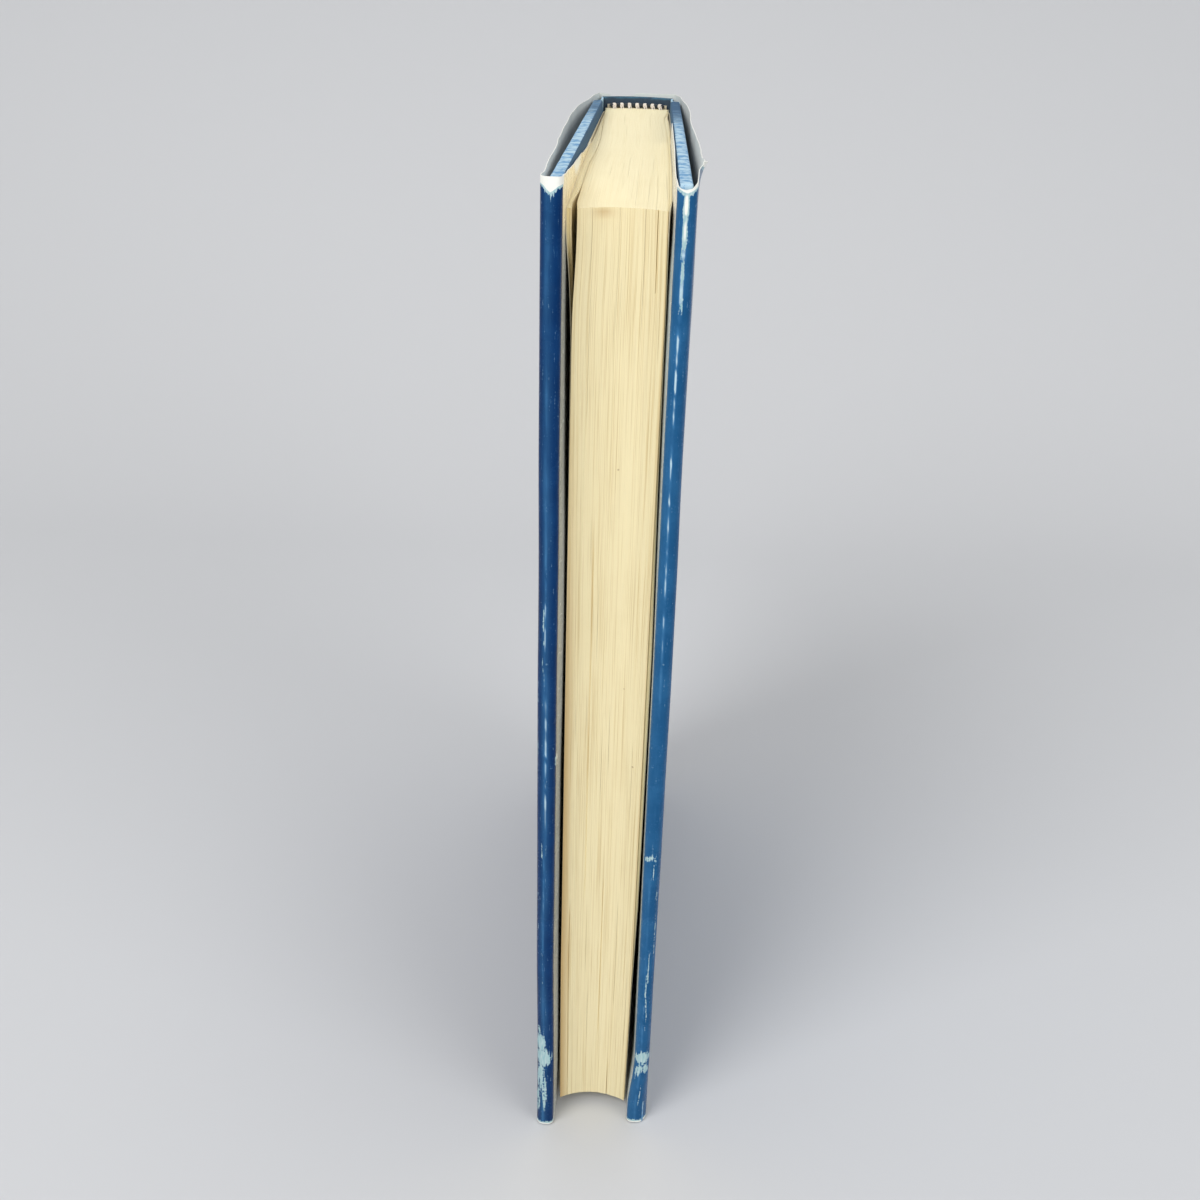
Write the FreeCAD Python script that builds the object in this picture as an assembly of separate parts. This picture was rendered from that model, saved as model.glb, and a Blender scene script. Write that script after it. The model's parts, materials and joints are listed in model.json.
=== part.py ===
# Octavo hardback book in a paper dust jacket, standing on its tail.
#
# Millimetres. +Z runs from tail to head, the fore edge faces -Y, the spine faces +Y and the
# front cover lies at -X. The origin is the middle of the base.
#
# The book is a rounded and backed text block in a cloth case of two boards and a spine strip,
# with a head band and a tail band, two pairs of endpapers and a loose jacket round it all.
# Cloth, gauze and jacket are whole sheets on the real book. Each is parted here at the two
# joints, where the covers turn.
import FreeCAD, Part
import math
import os
from FreeCAD import Vector

# ---------------------------------------------------------------- driving dimensions
case_height = 216.0           # boards and case cloth, tail to head
board_width = 133.5           # a board, joint edge to fore edge
board_thickness = 2.0
joint_width = 7.0             # groove between a board and the spine

cloth_thickness = 0.25
cloth_edge_radius = 0.5       # where the cloth turns round a board's edge
turn_in = 15.0                # cloth folded over onto a board's or the strip's inner face

block_thickness = 16.1
head_square = 2.7             # case stands past the leaves at the head, by the spine
tail_square = 3.3             # at the tail, by the fore edge
fore_square = 3.3             # and at the fore edge
leaf_sag = 2.4                # leaves hang lower at the fore edge than by the spine
cover_slip = 2.0              # front cover sits this far forward of the back cover
cover_splay = 1.1             # each cover is this much further out at its fore edge
fore_edge_hollow = 2.1        # depth of the concave fore edge
spine_round = 2.4             # height of the rounded spine
shoulder_gap = 0.5            # backed shoulders end this far inside the boards' inner faces
shoulder_depth = 2.6
loose_gap = 2.8               # free space between the two flaps, past the block
tail_pinch = 0.9              # block is this much thinner at the tail's fore edge
pinch_height = 45.0           # and has its full thickness from this far up
lean_head = 0.45              # fore edge of the block shifts towards the back cover, at the head
lean_tail = -0.15             # and at the tail

super_thickness = 0.25
super_setback = 15.0          # gauze stops short of the head and tail
super_flange = 30.0           # gauze glued on a board, from its joint edge
lining_thickness = 0.25
lining_setback = 1.5
hollow_back = 0.7             # free space between lining and spine strip
strip_thickness = 0.5
strip_margin_deg = 0.6        # strip stops this far short of the shoulders

leaf_thickness = 0.12         # endpapers
pastedown_margin = 3.0        # cloth left bare round a pastedown
leaf_joint_gap = 0.15         # free leaf to the block's side, at the joint and at the tail
front_leaf_gap = 0.15         # front free leaf to the flap it leans on, at the head
rear_leaf_lift = 0.5          # rear free leaf off the block, at the head

band_beads = 7
bead_radius = 0.66
bead_pitch = 2.06
bead_length = 1.06
bead_fit = 0.02               # play between a bead and the cord or the tape
band_cord_radius = 0.45
band_sides = 12               # a bead's and the cord's section
band_tape_thickness = 0.2
band_tape_drop = 9.0          # tape glued down the spine

jacket_thickness = 0.15
jacket_lift_tail = 0.4        # jacket hangs clear of what the book stands on
jacket_overhang = 0.6         # jacket is this much taller than the case
flap_width = 82.0
fold_radius = 1.1             # fold round a fore edge
fold_gap = 0.2                # fold to the cloth's fore edge
fold_lift = 0.6               # jacket off the outer cloth at the fold
bulge_lift = 2.9              # jacket springs off the outer cloth, at the head
bulge_tail_share = 0.15       # share of that spring that is left at the tail
spring_from = 0.66            # share of the jacket's height where the spring sets in
spring_full = 0.93            # and where it is all there
joint_lift = 0.1              # jacket off the cloth beside the joint
jacket_spine_gap = 0.3        # jacket to the spine's cloth
groove_gap = 0.1              # cloth pressed into the joint, to the gauze under it
joint_slit = 0.3              # parting of the sheets at a joint
pivot_lift = 0.5              # joint's axis outside the outer cloth

# ---------------------------------------------------------------- derived places, across (x)
# A cover's places are those at its fore edge; by the joint it is cover_splay further in.
flap_face = block_thickness / 2 + loose_gap / 2
flap_back = flap_face + jacket_thickness
paste_back = flap_back + leaf_thickness
board_inner = paste_back + max(cloth_thickness, super_thickness)
board_outer = board_inner + board_thickness
cloth_inner = board_inner - cloth_thickness
cloth_outer = board_outer + cloth_thickness
fold_outer = cloth_outer + fold_lift + jacket_thickness
groove_outer = board_inner + groove_gap + cloth_thickness
block_half = block_thickness / 2
spine_half = board_inner - cover_splay - shoulder_gap

# ---------------------------------------------------------------- derived places, along (y)
# These are the back cover's; the front cover's are cover_slip further forward.
glued_layer = max(super_thickness, band_tape_thickness)
spine_stack = (spine_round + glued_layer + lining_thickness + hollow_back
               + strip_thickness + cloth_thickness + jacket_spine_gap + jacket_thickness)
depth = (cover_slip + jacket_thickness + fold_gap + cloth_thickness + board_width
         + joint_width + spine_stack)
fold_fore = cover_slip - depth / 2
cloth_fore = fold_fore + jacket_thickness + fold_gap
board_fore = cloth_fore + cloth_thickness
board_joint = board_fore + board_width
shoulder_y = board_joint + joint_width
pivot_y = board_joint + joint_width / 2
block_fore = cloth_fore + fore_square

# ---------------------------------------------------------------- derived places, up (z)
block_tail = tail_square + leaf_sag           # by the spine
block_head = case_height - head_square        # by the spine
jacket_tail = jacket_lift_tail
jacket_head = jacket_tail + case_height + jacket_overhang

# The spine's layers are arcs about one axis.
spine_radius = (spine_half ** 2 + spine_round ** 2) / (2 * spine_round)
spine_axis_y = shoulder_y + spine_round - spine_radius
spine_angle = math.degrees(math.asin(spine_half / spine_radius))
strip_angle = spine_angle - strip_margin_deg
super_radius = spine_radius + super_thickness
lining_inner = spine_radius + glued_layer
lining_radius = lining_inner + lining_thickness
strip_radius = lining_radius + hollow_back
case_radius = strip_radius + strip_thickness
cloth_radius = case_radius + cloth_thickness
jacket_radius = cloth_radius + jacket_spine_gap


# ---------------------------------------------------------------- helpers
def box(x_range, y_range, z_range):
    """Return a box between the given pairs of x, y and z, in any order."""
    low = Vector(min(x_range), min(y_range), min(z_range))
    sizes = [max(pair) - min(pair) for pair in (x_range, y_range, z_range)]
    return Part.makeBox(sizes[0], sizes[1], sizes[2], low)


def rounded_path(points, radius):
    """Return the edges of a flat run through points, its corners turned at a radius."""
    edges = []
    start = points[0]
    for before, corner, after in zip(points, points[1:], points[2:]):
        to_start = (before - corner).normalize()
        to_end = (after - corner).normalize()
        half = to_start.getAngle(to_end) / 2
        reach = radius / math.tan(half)
        arc_start = corner + to_start * reach
        arc_end = corner + to_end * reach
        bisector = (to_start + to_end).normalize()
        middle = corner + bisector * (radius / math.sin(half) - radius)
        if start.distanceToPoint(arc_start) > 1e-6:
            edges.append(Part.makeLine(start, arc_start))
        edges.append(Part.Arc(arc_start, middle, arc_end).toShape())
        start = arc_end
    if start.distanceToPoint(points[-1]) > 1e-6:
        edges.append(Part.makeLine(start, points[-1]))
    return edges


def ribbon(edges, thickness, z_range):
    """Return a sheet: edges thickened to one side in the XY plane, and stood up in z."""
    face = Part.Wire(edges).makeOffset2D(thickness, 2, True, True, False)
    face.translate(Vector(0, 0, z_range[0]))
    return face.extrude(Vector(0, 0, z_range[1] - z_range[0])).Solids[0]


def spine_point(radius, angle_deg, z=0.0):
    """Return a point on one of the spine's arcs; the angle is 0 at the ridge."""
    angle = math.radians(angle_deg)
    return Vector(radius * math.sin(angle), spine_axis_y + radius * math.cos(angle), z)


def wrap_spine(right, radius, thickness, corner_radius, z_range):
    """Return a sheet round the spine: an arc that goes on down points at x > 0 and x < 0."""
    left = [Vector(-point.x, point.y, point.z) for point in reversed(right)]
    left[0].y -= cover_slip
    ridge = Part.Arc(left[-1], spine_point(radius, 0), right[0]).toShape()
    edges = rounded_path(left, corner_radius) + [ridge] + rounded_path(right, corner_radius)
    return ribbon(edges, thickness, z_range)


def spine_shell(inner_radius, outer_radius, half_angle, z_range):
    """Return a layer of the spine between two arcs about the spine's axis."""
    outer = [spine_point(outer_radius, angle) for angle in (-half_angle, 0, half_angle)]
    inner = [spine_point(inner_radius, angle) for angle in (half_angle, 0, -half_angle)]
    wire = Part.Wire([
        Part.Arc(*outer).toShape(),
        Part.makeLine(outer[-1], inner[0]),
        Part.Arc(*inner).toShape(),
        Part.makeLine(inner[-1], outer[0]),
    ])
    layer = Part.Face(wire)
    layer.translate(Vector(0, 0, z_range[0]))
    return layer.extrude(Vector(0, 0, z_range[1] - z_range[0]))


def curve(points):
    """Return a smooth edge that starts and ends on points and is drawn to the rest."""
    spline = Part.BSplineCurve()
    spline.buildFromPoles(points, False, min(3, len(points) - 1))
    return spline.toShape()


def sheet_loft(lines, thickness):
    """Return a thin sheet lofted through lines of poles, thickened along x."""
    step = Vector(thickness, 0, 0)
    sections = []
    for points in lines:
        shifted = [point + step for point in points]
        sections.append(Part.Wire([
            curve(points),
            Part.makeLine(points[-1], shifted[-1]),
            curve(shifted),
            Part.makeLine(shifted[0], points[0]),
        ]))
    return Part.makeLoft(sections, True, False)


def flipped(shape, low, high):
    """Return the shape upside down between two heights, for what head and tail share."""
    middle = Vector(0, 0, (low + high) / 2)
    return shape.mirror(middle, Vector(0, 0, 1))


# ---------------------------------------------------------------- text block
def block_side(side, z):
    """Return the x of the block's side at its fore edge, at height z."""
    lean = lean_tail + (lean_head - lean_tail) * z / case_height
    pinch = tail_pinch * max(0.0, 1 - z / pinch_height)
    return lean + side * (block_half - pinch / 2)


def block_outline(lean, fore_half, z):
    """Return the block's outline at height z, its fore edge shifted in x and thinned."""
    left_fore = Vector(lean - fore_half, block_fore, z)
    right_fore = Vector(lean + fore_half, block_fore, z)
    left_neck = Vector(-block_half, shoulder_y - shoulder_depth, z)
    right_neck = Vector(block_half, shoulder_y - shoulder_depth, z)
    left_shoulder = Vector(-spine_half, shoulder_y, z)
    right_shoulder = Vector(spine_half, shoulder_y, z)
    hollow = Vector(lean, block_fore + fore_edge_hollow, z)
    ridge = Vector(0, shoulder_y + spine_round, z)
    return Part.Wire([
        Part.Arc(left_fore, hollow, right_fore).toShape(),
        Part.makeLine(right_fore, right_neck),
        Part.makeLine(right_neck, right_shoulder),
        Part.Arc(right_shoulder, ridge, left_shoulder).toShape(),
        Part.makeLine(left_shoulder, left_neck),
        Part.makeLine(left_neck, left_fore),
    ])


def leaf_space():
    """Return the space between the planes that the leaves are trimmed to at head and tail.

    Both planes fall towards the fore edge and are level over the spine.
    """
    neck = shoulder_y - shoulder_depth
    back = shoulder_y + 2 * spine_round
    corners = [
        Vector(-board_outer, block_fore, block_tail - leaf_sag),
        Vector(-board_outer, neck, block_tail),
        Vector(-board_outer, back, block_tail),
        Vector(-board_outer, back, block_head),
        Vector(-board_outer, neck, block_head),
        Vector(-board_outer, block_fore, block_head - leaf_sag),
    ]
    side = Part.Face(Part.makePolygon(corners + corners[:1]))
    return side.extrude(Vector(2 * board_outer, 0, 0))


def make_text_block():
    """Return the leaves as one solid: rounded spine, shoulders and hollow fore edge."""
    outlines = []
    for z in (0, pinch_height, case_height):
        left, right = block_side(-1, z), block_side(1, z)
        outlines.append(block_outline((left + right) / 2, (right - left) / 2, z))
    block = Part.makeLoft(outlines, True, True)
    return block.common(leaf_space()).Solids[0]


# ---------------------------------------------------------------- spine layers
def make_spine_super():
    """Return the gauze over the spine, with a leg past each shoulder into the joint."""
    shoulder = spine_point(super_radius, spine_angle)
    leg_x = board_inner - cover_splay
    right = [
        shoulder,
        Vector(leg_x, shoulder.y - super_thickness / 2, 0),
        Vector(leg_x, pivot_y + joint_slit / 2, 0),
    ]
    return wrap_spine(right, super_radius, super_radius - spine_radius, 0.3,
                      (super_setback, case_height - super_setback))


def make_spine_lining():
    """Return the kraft paper over the gauze."""
    z_range = (block_tail + lining_setback, block_head - lining_setback)
    return spine_shell(lining_inner, lining_radius, spine_angle, z_range)


def make_spine_strip():
    """Return the card that stiffens the case's spine."""
    z_range = (cloth_thickness, case_height - cloth_thickness)
    return spine_shell(strip_radius, case_radius, strip_angle, z_range)


def make_cloth_spine():
    """Return the cloth round the spine strip, turned in at head and tail."""
    groove_x = groove_outer - cover_splay
    right = [
        spine_point(cloth_radius, spine_angle),
        Vector(groove_x + shoulder_depth * 0.2, shoulder_y + 0.35 * shoulder_depth, 0),
        Vector(groove_x, shoulder_y - 0.5 * shoulder_depth, 0),
        Vector(groove_x, pivot_y + joint_slit / 2, 0),
    ]
    body = wrap_spine(right, cloth_radius, cloth_thickness, 0.5, (0, case_height))
    fold_radius_in = strip_radius - cloth_thickness
    cap = spine_shell(fold_radius_in, case_radius, strip_angle,
                      (case_height - cloth_thickness, case_height))
    inside = spine_shell(fold_radius_in, strip_radius, strip_angle,
                         (case_height - turn_in, case_height - cloth_thickness))
    turned = cap.fuse(inside)
    both = [turned, flipped(turned, 0, case_height)]
    return body.fuse(both).removeSplitter().Solids[0]


# ---------------------------------------------------------------- head and tail bands
band_radius = spine_radius - bead_radius - bead_fit
band_z = block_head + bead_radius
bead_step_deg = math.degrees(bead_pitch / band_radius)
bead_sweep_deg = math.degrees(bead_length / band_radius)
band_sweep_deg = bead_step_deg * band_beads + bead_sweep_deg


def band_section(radius):
    """Return a band's many-sided section, upright beside the spine's axis."""
    corners = []
    for index in range(band_sides):
        turn = 2 * math.pi * index / band_sides
        corners.append(Vector(0, band_radius + radius * math.cos(turn),
                              band_z + radius * math.sin(turn)))
    return Part.Face(Part.makePolygon(corners + corners[:1]))


def along_spine(section, middle_deg, sweep_deg):
    """Return a section swept along the spine's curve, centred on an angle."""
    bar = section.revolve(Vector(0, 0, 0), Vector(0, 0, 1), sweep_deg).Solids[0]
    bar.rotate(Vector(0, 0, 0), Vector(0, 0, 1), -middle_deg - sweep_deg / 2)
    bar.translate(Vector(0, spine_axis_y, 0))
    return bar


def make_band_cord():
    """Return the dark cord of the head band."""
    return along_spine(band_section(band_cord_radius), 0, band_sweep_deg)


def make_band_beads():
    """Return the light beads wound round the cord."""
    ring = band_section(bead_radius).cut(band_section(band_cord_radius + bead_fit))
    beads = []
    for index in range(band_beads):
        middle_deg = (index - (band_beads - 1) / 2) * bead_step_deg
        beads.append(along_spine(ring, middle_deg, bead_sweep_deg))
    return Part.makeCompound(beads)


def make_band_tape():
    """Return the cloth tape that holds the band to the spine."""
    half_angle = band_sweep_deg / 2
    z_range = (block_head - band_tape_drop, band_z + bead_radius / 2)
    return spine_shell(spine_radius, spine_radius + band_tape_thickness, half_angle, z_range)


# ---------------------------------------------------------------- covers
def placed(shape, side):
    """Return a cover's piece, drawn square at x > 0, splayed and on the side asked for."""
    splay_deg = math.degrees(math.asin(cover_splay / (pivot_y - cloth_fore)))
    shape = shape.copy()
    shape.rotate(Vector(board_inner, cloth_fore, 0), Vector(0, 0, 1), splay_deg)
    if side > 0:
        return shape
    shape = shape.mirror(Vector(0, 0, 0), Vector(1, 0, 0))
    shape.translate(Vector(0, -cover_slip, 0))
    return shape


def square_board():
    """Return a board before it is splayed."""
    return box((board_inner, board_outer), (board_fore, board_joint),
               (cloth_thickness, case_height - cloth_thickness))


def make_board(side):
    """Return one board."""
    return placed(square_board(), side)


def make_cover_cloth(side):
    """Return the cloth round one board, with its turn-ins and its half of the joint."""
    outer = box((cloth_inner, cloth_outer), (cloth_fore, board_joint), (0, case_height))
    turned = [edge for edge in outer.Edges
              if abs(edge.CenterOfMass.y - cloth_fore) < 1e-6
              and abs(edge.CenterOfMass.z - case_height / 2) < 1e-6]
    turned += [edge for edge in outer.Edges
               if abs(edge.CenterOfMass.z - case_height / 2) > case_height / 2 - 1e-6
               and abs(edge.CenterOfMass.y - (cloth_fore + board_joint) / 2) < 1e-6]
    outer = outer.makeFillet(min(cloth_edge_radius, board_thickness / 3), turned)
    window = box((cloth_inner - 1, board_inner), (cloth_fore + turn_in, board_joint + 1),
                 (turn_in, case_height - turn_in))
    shell = outer.cut([square_board(), window])
    dip = [
        Vector(cloth_outer, board_joint, 0),
        Vector(cloth_outer, board_joint + joint_width * 0.08, 0),
        Vector(groove_outer, board_joint + joint_width * 0.34, 0),
        Vector(groove_outer, pivot_y - joint_slit / 2, 0),
    ]
    joint = ribbon(rounded_path(dip, 0.5), -cloth_thickness, (0, case_height))
    cloth = shell.fuse(joint).removeSplitter().Solids[0]
    return placed(cloth, side)


def make_super_flange(side):
    """Return the gauze glued on a board and across its half of the joint."""
    flange = box((board_inner - super_thickness, board_inner),
                 (board_joint - super_flange, pivot_y - joint_slit / 2),
                 (super_setback, case_height - super_setback))
    return placed(flange, side)


def make_pastedown(side):
    """Return the endpaper glued on a board: it dips between the cloth's turn-ins."""
    y_range = (cloth_fore + pastedown_margin, pivot_y - joint_slit / 2)
    z_range = (pastedown_margin, case_height - pastedown_margin)
    sheet = box((flap_back, paste_back), y_range, z_range)
    well_y = (cloth_fore + turn_in, board_joint - super_flange)
    well_z = (turn_in, case_height - turn_in)
    well = box((paste_back, board_inner), well_y, well_z)
    edge = leaf_thickness
    hollow = box((flap_back, board_inner - leaf_thickness),
                 (well_y[0] + edge, well_y[1] - edge), (well_z[0] + edge, well_z[1] - edge))
    return placed(sheet.fuse(well).cut(hollow).Solids[0], side)


# ---------------------------------------------------------------- free leaves
def leaf_line(z, joint_x, middle_x, fore_x, joint_y):
    """Return the poles of a free leaf at height z, joint to fore edge."""
    reach = joint_y - block_fore
    return [
        Vector(joint_x, joint_y, z),
        Vector(joint_x, joint_y - 0.35 * reach, z),
        Vector(middle_x, joint_y - 0.65 * reach, z),
        Vector(fore_x, block_fore, z),
    ]


def make_front_flyleaf():
    """Return the front free leaf: it leans on the cover at the head."""
    near = -(block_half + leaf_joint_gap + leaf_thickness)
    far = -(flap_face - front_leaf_gap)
    joint_y = pivot_y - cover_slip - joint_slit
    lines = []
    for share, reach in ((0.0, 0.0), (0.35, 0.12), (0.7, 0.45), (1.0, 1.0)):
        z = share * case_height
        fore_x = near + (far - near) * reach
        middle_x = near + (far - near) * reach * 0.6
        lines.append(leaf_line(z, near, middle_x, fore_x, joint_y))
    return sheet_loft(lines, leaf_thickness).common(leaf_space()).Solids[0]


def make_rear_flyleaf():
    """Return the rear free leaf: it stands a little off the block."""
    joint_y = shoulder_y - shoulder_depth - leaf_joint_gap
    lines = []
    for share, lift in ((0.0, 0.5), (0.35, 0.8), (0.7, 0.7), (1.0, 1.0)):
        z = share * case_height
        off = leaf_joint_gap + (rear_leaf_lift - leaf_joint_gap) * lift
        fore_x = block_side(1, z) + off
        near = block_half + leaf_joint_gap * 0.3
        lines.append(leaf_line(z, near, (near + fore_x) / 2 + lift * 0.15, fore_x, joint_y))
    return sheet_loft(lines, leaf_thickness).common(leaf_space()).Solids[0]


# ---------------------------------------------------------------- jacket
# A panel's spring line: (share of the way from joint to fold, share of bulge_lift) pairs.
FRONT_SPRING = ((0.05, 0.10), (0.17, 1.00), (0.47, 0.83), (0.77, 0.47))
BACK_SPRING = ((0.05, 0.10), (0.21, 0.74), (0.48, 0.64), (0.85, 1.10))


def spring_left(share):
    """Return how much of the jacket's spring is left, share of the way up."""
    rise = min(1.0, max(0.0, (share - spring_from) / (spring_full - spring_from)))
    smooth = rise * rise * (3 - 2 * rise)
    return bulge_tail_share + (1 - bulge_tail_share) * smooth


def panel_line(spring_line, share):
    """Return the poles across a jacket panel, share of the way up, joint to fold."""
    z = jacket_tail + share * (jacket_head - jacket_tail)
    panel_joint = pivot_y - joint_slit / 2
    span = panel_joint - (fold_fore + fold_radius)
    poles = [Vector(cloth_outer + joint_lift, panel_joint, z)]
    for along, height in spring_line:
        flat = joint_lift + (fold_lift - joint_lift) * along
        lift = flat + (bulge_lift * height - flat) * spring_left(share)
        poles.append(Vector(cloth_outer + lift, panel_joint - along * span, z))
    poles.append(Vector(cloth_outer + fold_lift, panel_joint - span, z))
    return poles


def make_jacket_cover(side, spring_line):
    """Return one panel of the jacket with its fold and flap."""
    lines = [panel_line(spring_line, index / 10) for index in range(11)]
    panel = sheet_loft(lines, jacket_thickness)
    turn = [
        Vector(fold_outer, fold_fore + fold_radius, 0),
        Vector(fold_outer, fold_fore, 0),
        Vector(flap_face, fold_fore, 0),
        Vector(flap_face, fold_fore + flap_width, 0),
    ]
    fold = ribbon(rounded_path(turn, fold_radius), jacket_thickness,
                  (jacket_tail, jacket_head))
    return placed(panel.fuse(fold).removeSplitter().Solids[0], side)


def make_jacket_spine():
    """Return the jacket's spine panel, from joint to joint."""
    right = [
        spine_point(jacket_radius, strip_angle + 1.5),
        Vector(cloth_outer + joint_lift - cover_splay, pivot_y + joint_slit / 2, 0),
    ]
    return wrap_spine(right, jacket_radius, -jacket_thickness, 0, (jacket_tail, jacket_head))


# ---------------------------------------------------------------- the book
def make_parts():
    """Return every piece of the book, by name."""
    beads = make_band_beads()
    cord = make_band_cord()
    tape = make_band_tape()
    return {
        "text_block": make_text_block(),
        "spine_super": make_spine_super(),
        "spine_lining": make_spine_lining(),
        "headband_cord": cord,
        "headband_beads": beads,
        "headband_tape": tape,
        "tailband_cord": flipped(cord, block_tail, block_head),
        "tailband_beads": flipped(beads, block_tail, block_head),
        "tailband_tape": flipped(tape, block_tail, block_head),
        "spine_strip": make_spine_strip(),
        "cloth_spine": make_cloth_spine(),
        "rear_flyleaf": make_rear_flyleaf(),
        "jacket_spine": make_jacket_spine(),
        "front_board": make_board(-1),
        "front_cloth": make_cover_cloth(-1),
        "front_super_flange": make_super_flange(-1),
        "front_pastedown": make_pastedown(-1),
        "front_flyleaf": make_front_flyleaf(),
        "jacket_front": make_jacket_cover(-1, FRONT_SPRING),
        "back_board": make_board(1),
        "back_cloth": make_cover_cloth(1),
        "back_super_flange": make_super_flange(1),
        "back_pastedown": make_pastedown(1),
        "jacket_back": make_jacket_cover(1, BACK_SPRING),
    }


os.makedirs("parts", exist_ok=True)
for name, shape in make_parts().items():
    shape.exportStep("parts/" + name + ".step")
    print(name, shape.ShapeType, len(shape.Solids), round(shape.Volume, 2), shape.isValid())
print("joint axes at x", round(cloth_outer - cover_splay + pivot_lift, 3),
      "y", round(pivot_y - cover_slip, 3), "and", round(pivot_y, 3))
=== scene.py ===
"""A hardback octavo book in its paper dust jacket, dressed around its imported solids.

The book stands on its tail with the fore edge towards -Y, the spine towards +Y and the front
cover at -X. Sizes in the classes are millimetres; meshes are put down in metres.
"""

import json
import logging
import math
from dataclasses import dataclass, field
from enum import Enum
from typing import Any, Callable, Sequence

import bpy
import numpy as np
from mathutils import Matrix, Vector

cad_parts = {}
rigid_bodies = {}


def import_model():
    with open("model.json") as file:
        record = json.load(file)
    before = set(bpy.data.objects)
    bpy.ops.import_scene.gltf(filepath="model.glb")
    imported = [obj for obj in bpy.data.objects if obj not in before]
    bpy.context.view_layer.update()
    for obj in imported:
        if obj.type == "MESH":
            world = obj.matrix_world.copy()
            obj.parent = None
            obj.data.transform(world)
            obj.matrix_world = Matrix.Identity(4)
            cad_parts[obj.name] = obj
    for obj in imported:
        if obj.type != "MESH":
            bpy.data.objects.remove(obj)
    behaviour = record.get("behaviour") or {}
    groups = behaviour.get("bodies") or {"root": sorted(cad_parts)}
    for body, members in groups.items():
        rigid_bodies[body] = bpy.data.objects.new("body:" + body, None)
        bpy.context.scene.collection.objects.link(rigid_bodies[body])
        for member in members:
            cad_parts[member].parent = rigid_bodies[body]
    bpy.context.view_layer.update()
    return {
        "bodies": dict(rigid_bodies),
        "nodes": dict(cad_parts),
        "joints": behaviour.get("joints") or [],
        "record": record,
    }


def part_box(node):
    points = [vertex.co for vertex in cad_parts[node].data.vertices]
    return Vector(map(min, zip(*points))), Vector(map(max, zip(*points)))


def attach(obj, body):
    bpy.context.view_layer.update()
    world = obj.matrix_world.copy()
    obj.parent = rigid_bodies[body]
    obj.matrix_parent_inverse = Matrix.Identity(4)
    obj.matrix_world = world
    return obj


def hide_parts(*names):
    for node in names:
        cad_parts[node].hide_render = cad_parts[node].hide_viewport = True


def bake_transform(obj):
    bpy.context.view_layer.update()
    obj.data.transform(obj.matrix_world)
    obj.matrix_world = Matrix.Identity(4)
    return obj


LOG = logging.getLogger("book")
MM = 0.001
SHEET_MAP = "sheet"
# A per-point field of print rubbed away, which on the jacket's folds also carries thin painted
# highlight streaks.
WEAR_AND_GLINTS = "wear"
# A per-point share of a second colour: sun fading on the cloth, painted shade on the leaves,
# painted sheen and highlight streaks on the jacket.
FADE_SHADE_AND_SHEEN = "fade"

Grid = np.ndarray
Colour = tuple[float, float, float, float]
Socket = bpy.types.NodeSocket


# ---------------------------------------------------------------- small tools
def srgb(red: float, green: float, blue: float) -> Colour:
    """Return a display colour, 0 to 255, as a linear colour with alpha.

    Args:
        red: Red, 0 to 255.
        green: Green, 0 to 255.
        blue: Blue, 0 to 255.

    Returns:
        The colour's linear red, green, blue and alpha.
    """
    linear = []
    for value in (red, green, blue):
        share = value / 255
        linear.append(share / 12.92 if share <= 0.04045 else ((share + 0.055) / 1.055) ** 2.4)
    return linear[0], linear[1], linear[2], 1.0


def smooth(value: Grid, low: float, high: float) -> Grid:
    """Return 0 below low, 1 above high and a smooth rise between them.

    Args:
        value: What is measured.
        low: Where the rise starts; it may be above high, and then it is a fall.
        high: Where the rise ends.

    Returns:
        The shares, 0 to 1.
    """
    share = np.clip((np.asarray(value, float) - low) / (high - low), 0, 1)
    return share * share * (3 - 2 * share)


def spaced(stops: Sequence[tuple[float, int]]) -> Grid:
    """Return places along a line, with a number of steps up to each stop.

    Args:
        stops: The first place with any count, then each next place with its steps.

    Returns:
        All the places in order.
    """
    places = [np.array([stops[0][0]])]
    for (start, _), (end, steps) in zip(stops, stops[1:]):
        places.append(np.linspace(start, end, steps + 1)[1:])
    return np.concatenate(places)


class Unevenness:
    """Smooth seeded unevenness over a surface, from -1 to 1."""

    def __init__(self, seed: int, cells: int = 97) -> None:
        """Lay out the random lattice.

        Args:
            seed: The seed of this surface's own pattern.
            cells: Lattice cells before the pattern repeats.
        """
        self.lattice = np.random.default_rng(seed).uniform(-1, 1, (cells, cells))

    def at(self, across: Grid, along: Grid) -> Grid:
        """Return the unevenness at places given in lattice cells.

        Args:
            across: Places in the first direction.
            along: Places in the second direction.

        Returns:
            Values from -1 to 1.
        """
        across, along = np.broadcast_arrays(np.asarray(across, float), np.asarray(along, float))
        row, column = np.floor(across).astype(int), np.floor(along).astype(int)
        down, right = across - row, along - column
        down, right = down * down * (3 - 2 * down), right * right * (3 - 2 * right)
        cells = len(self.lattice)
        corners = [self.lattice[(row + i) % cells, (column + j) % cells]
                   for i in (0, 1) for j in (0, 1)]
        upper = corners[0] * (1 - right) + corners[1] * right
        lower = corners[2] * (1 - right) + corners[3] * right
        return upper * (1 - down) + lower * down


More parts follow.
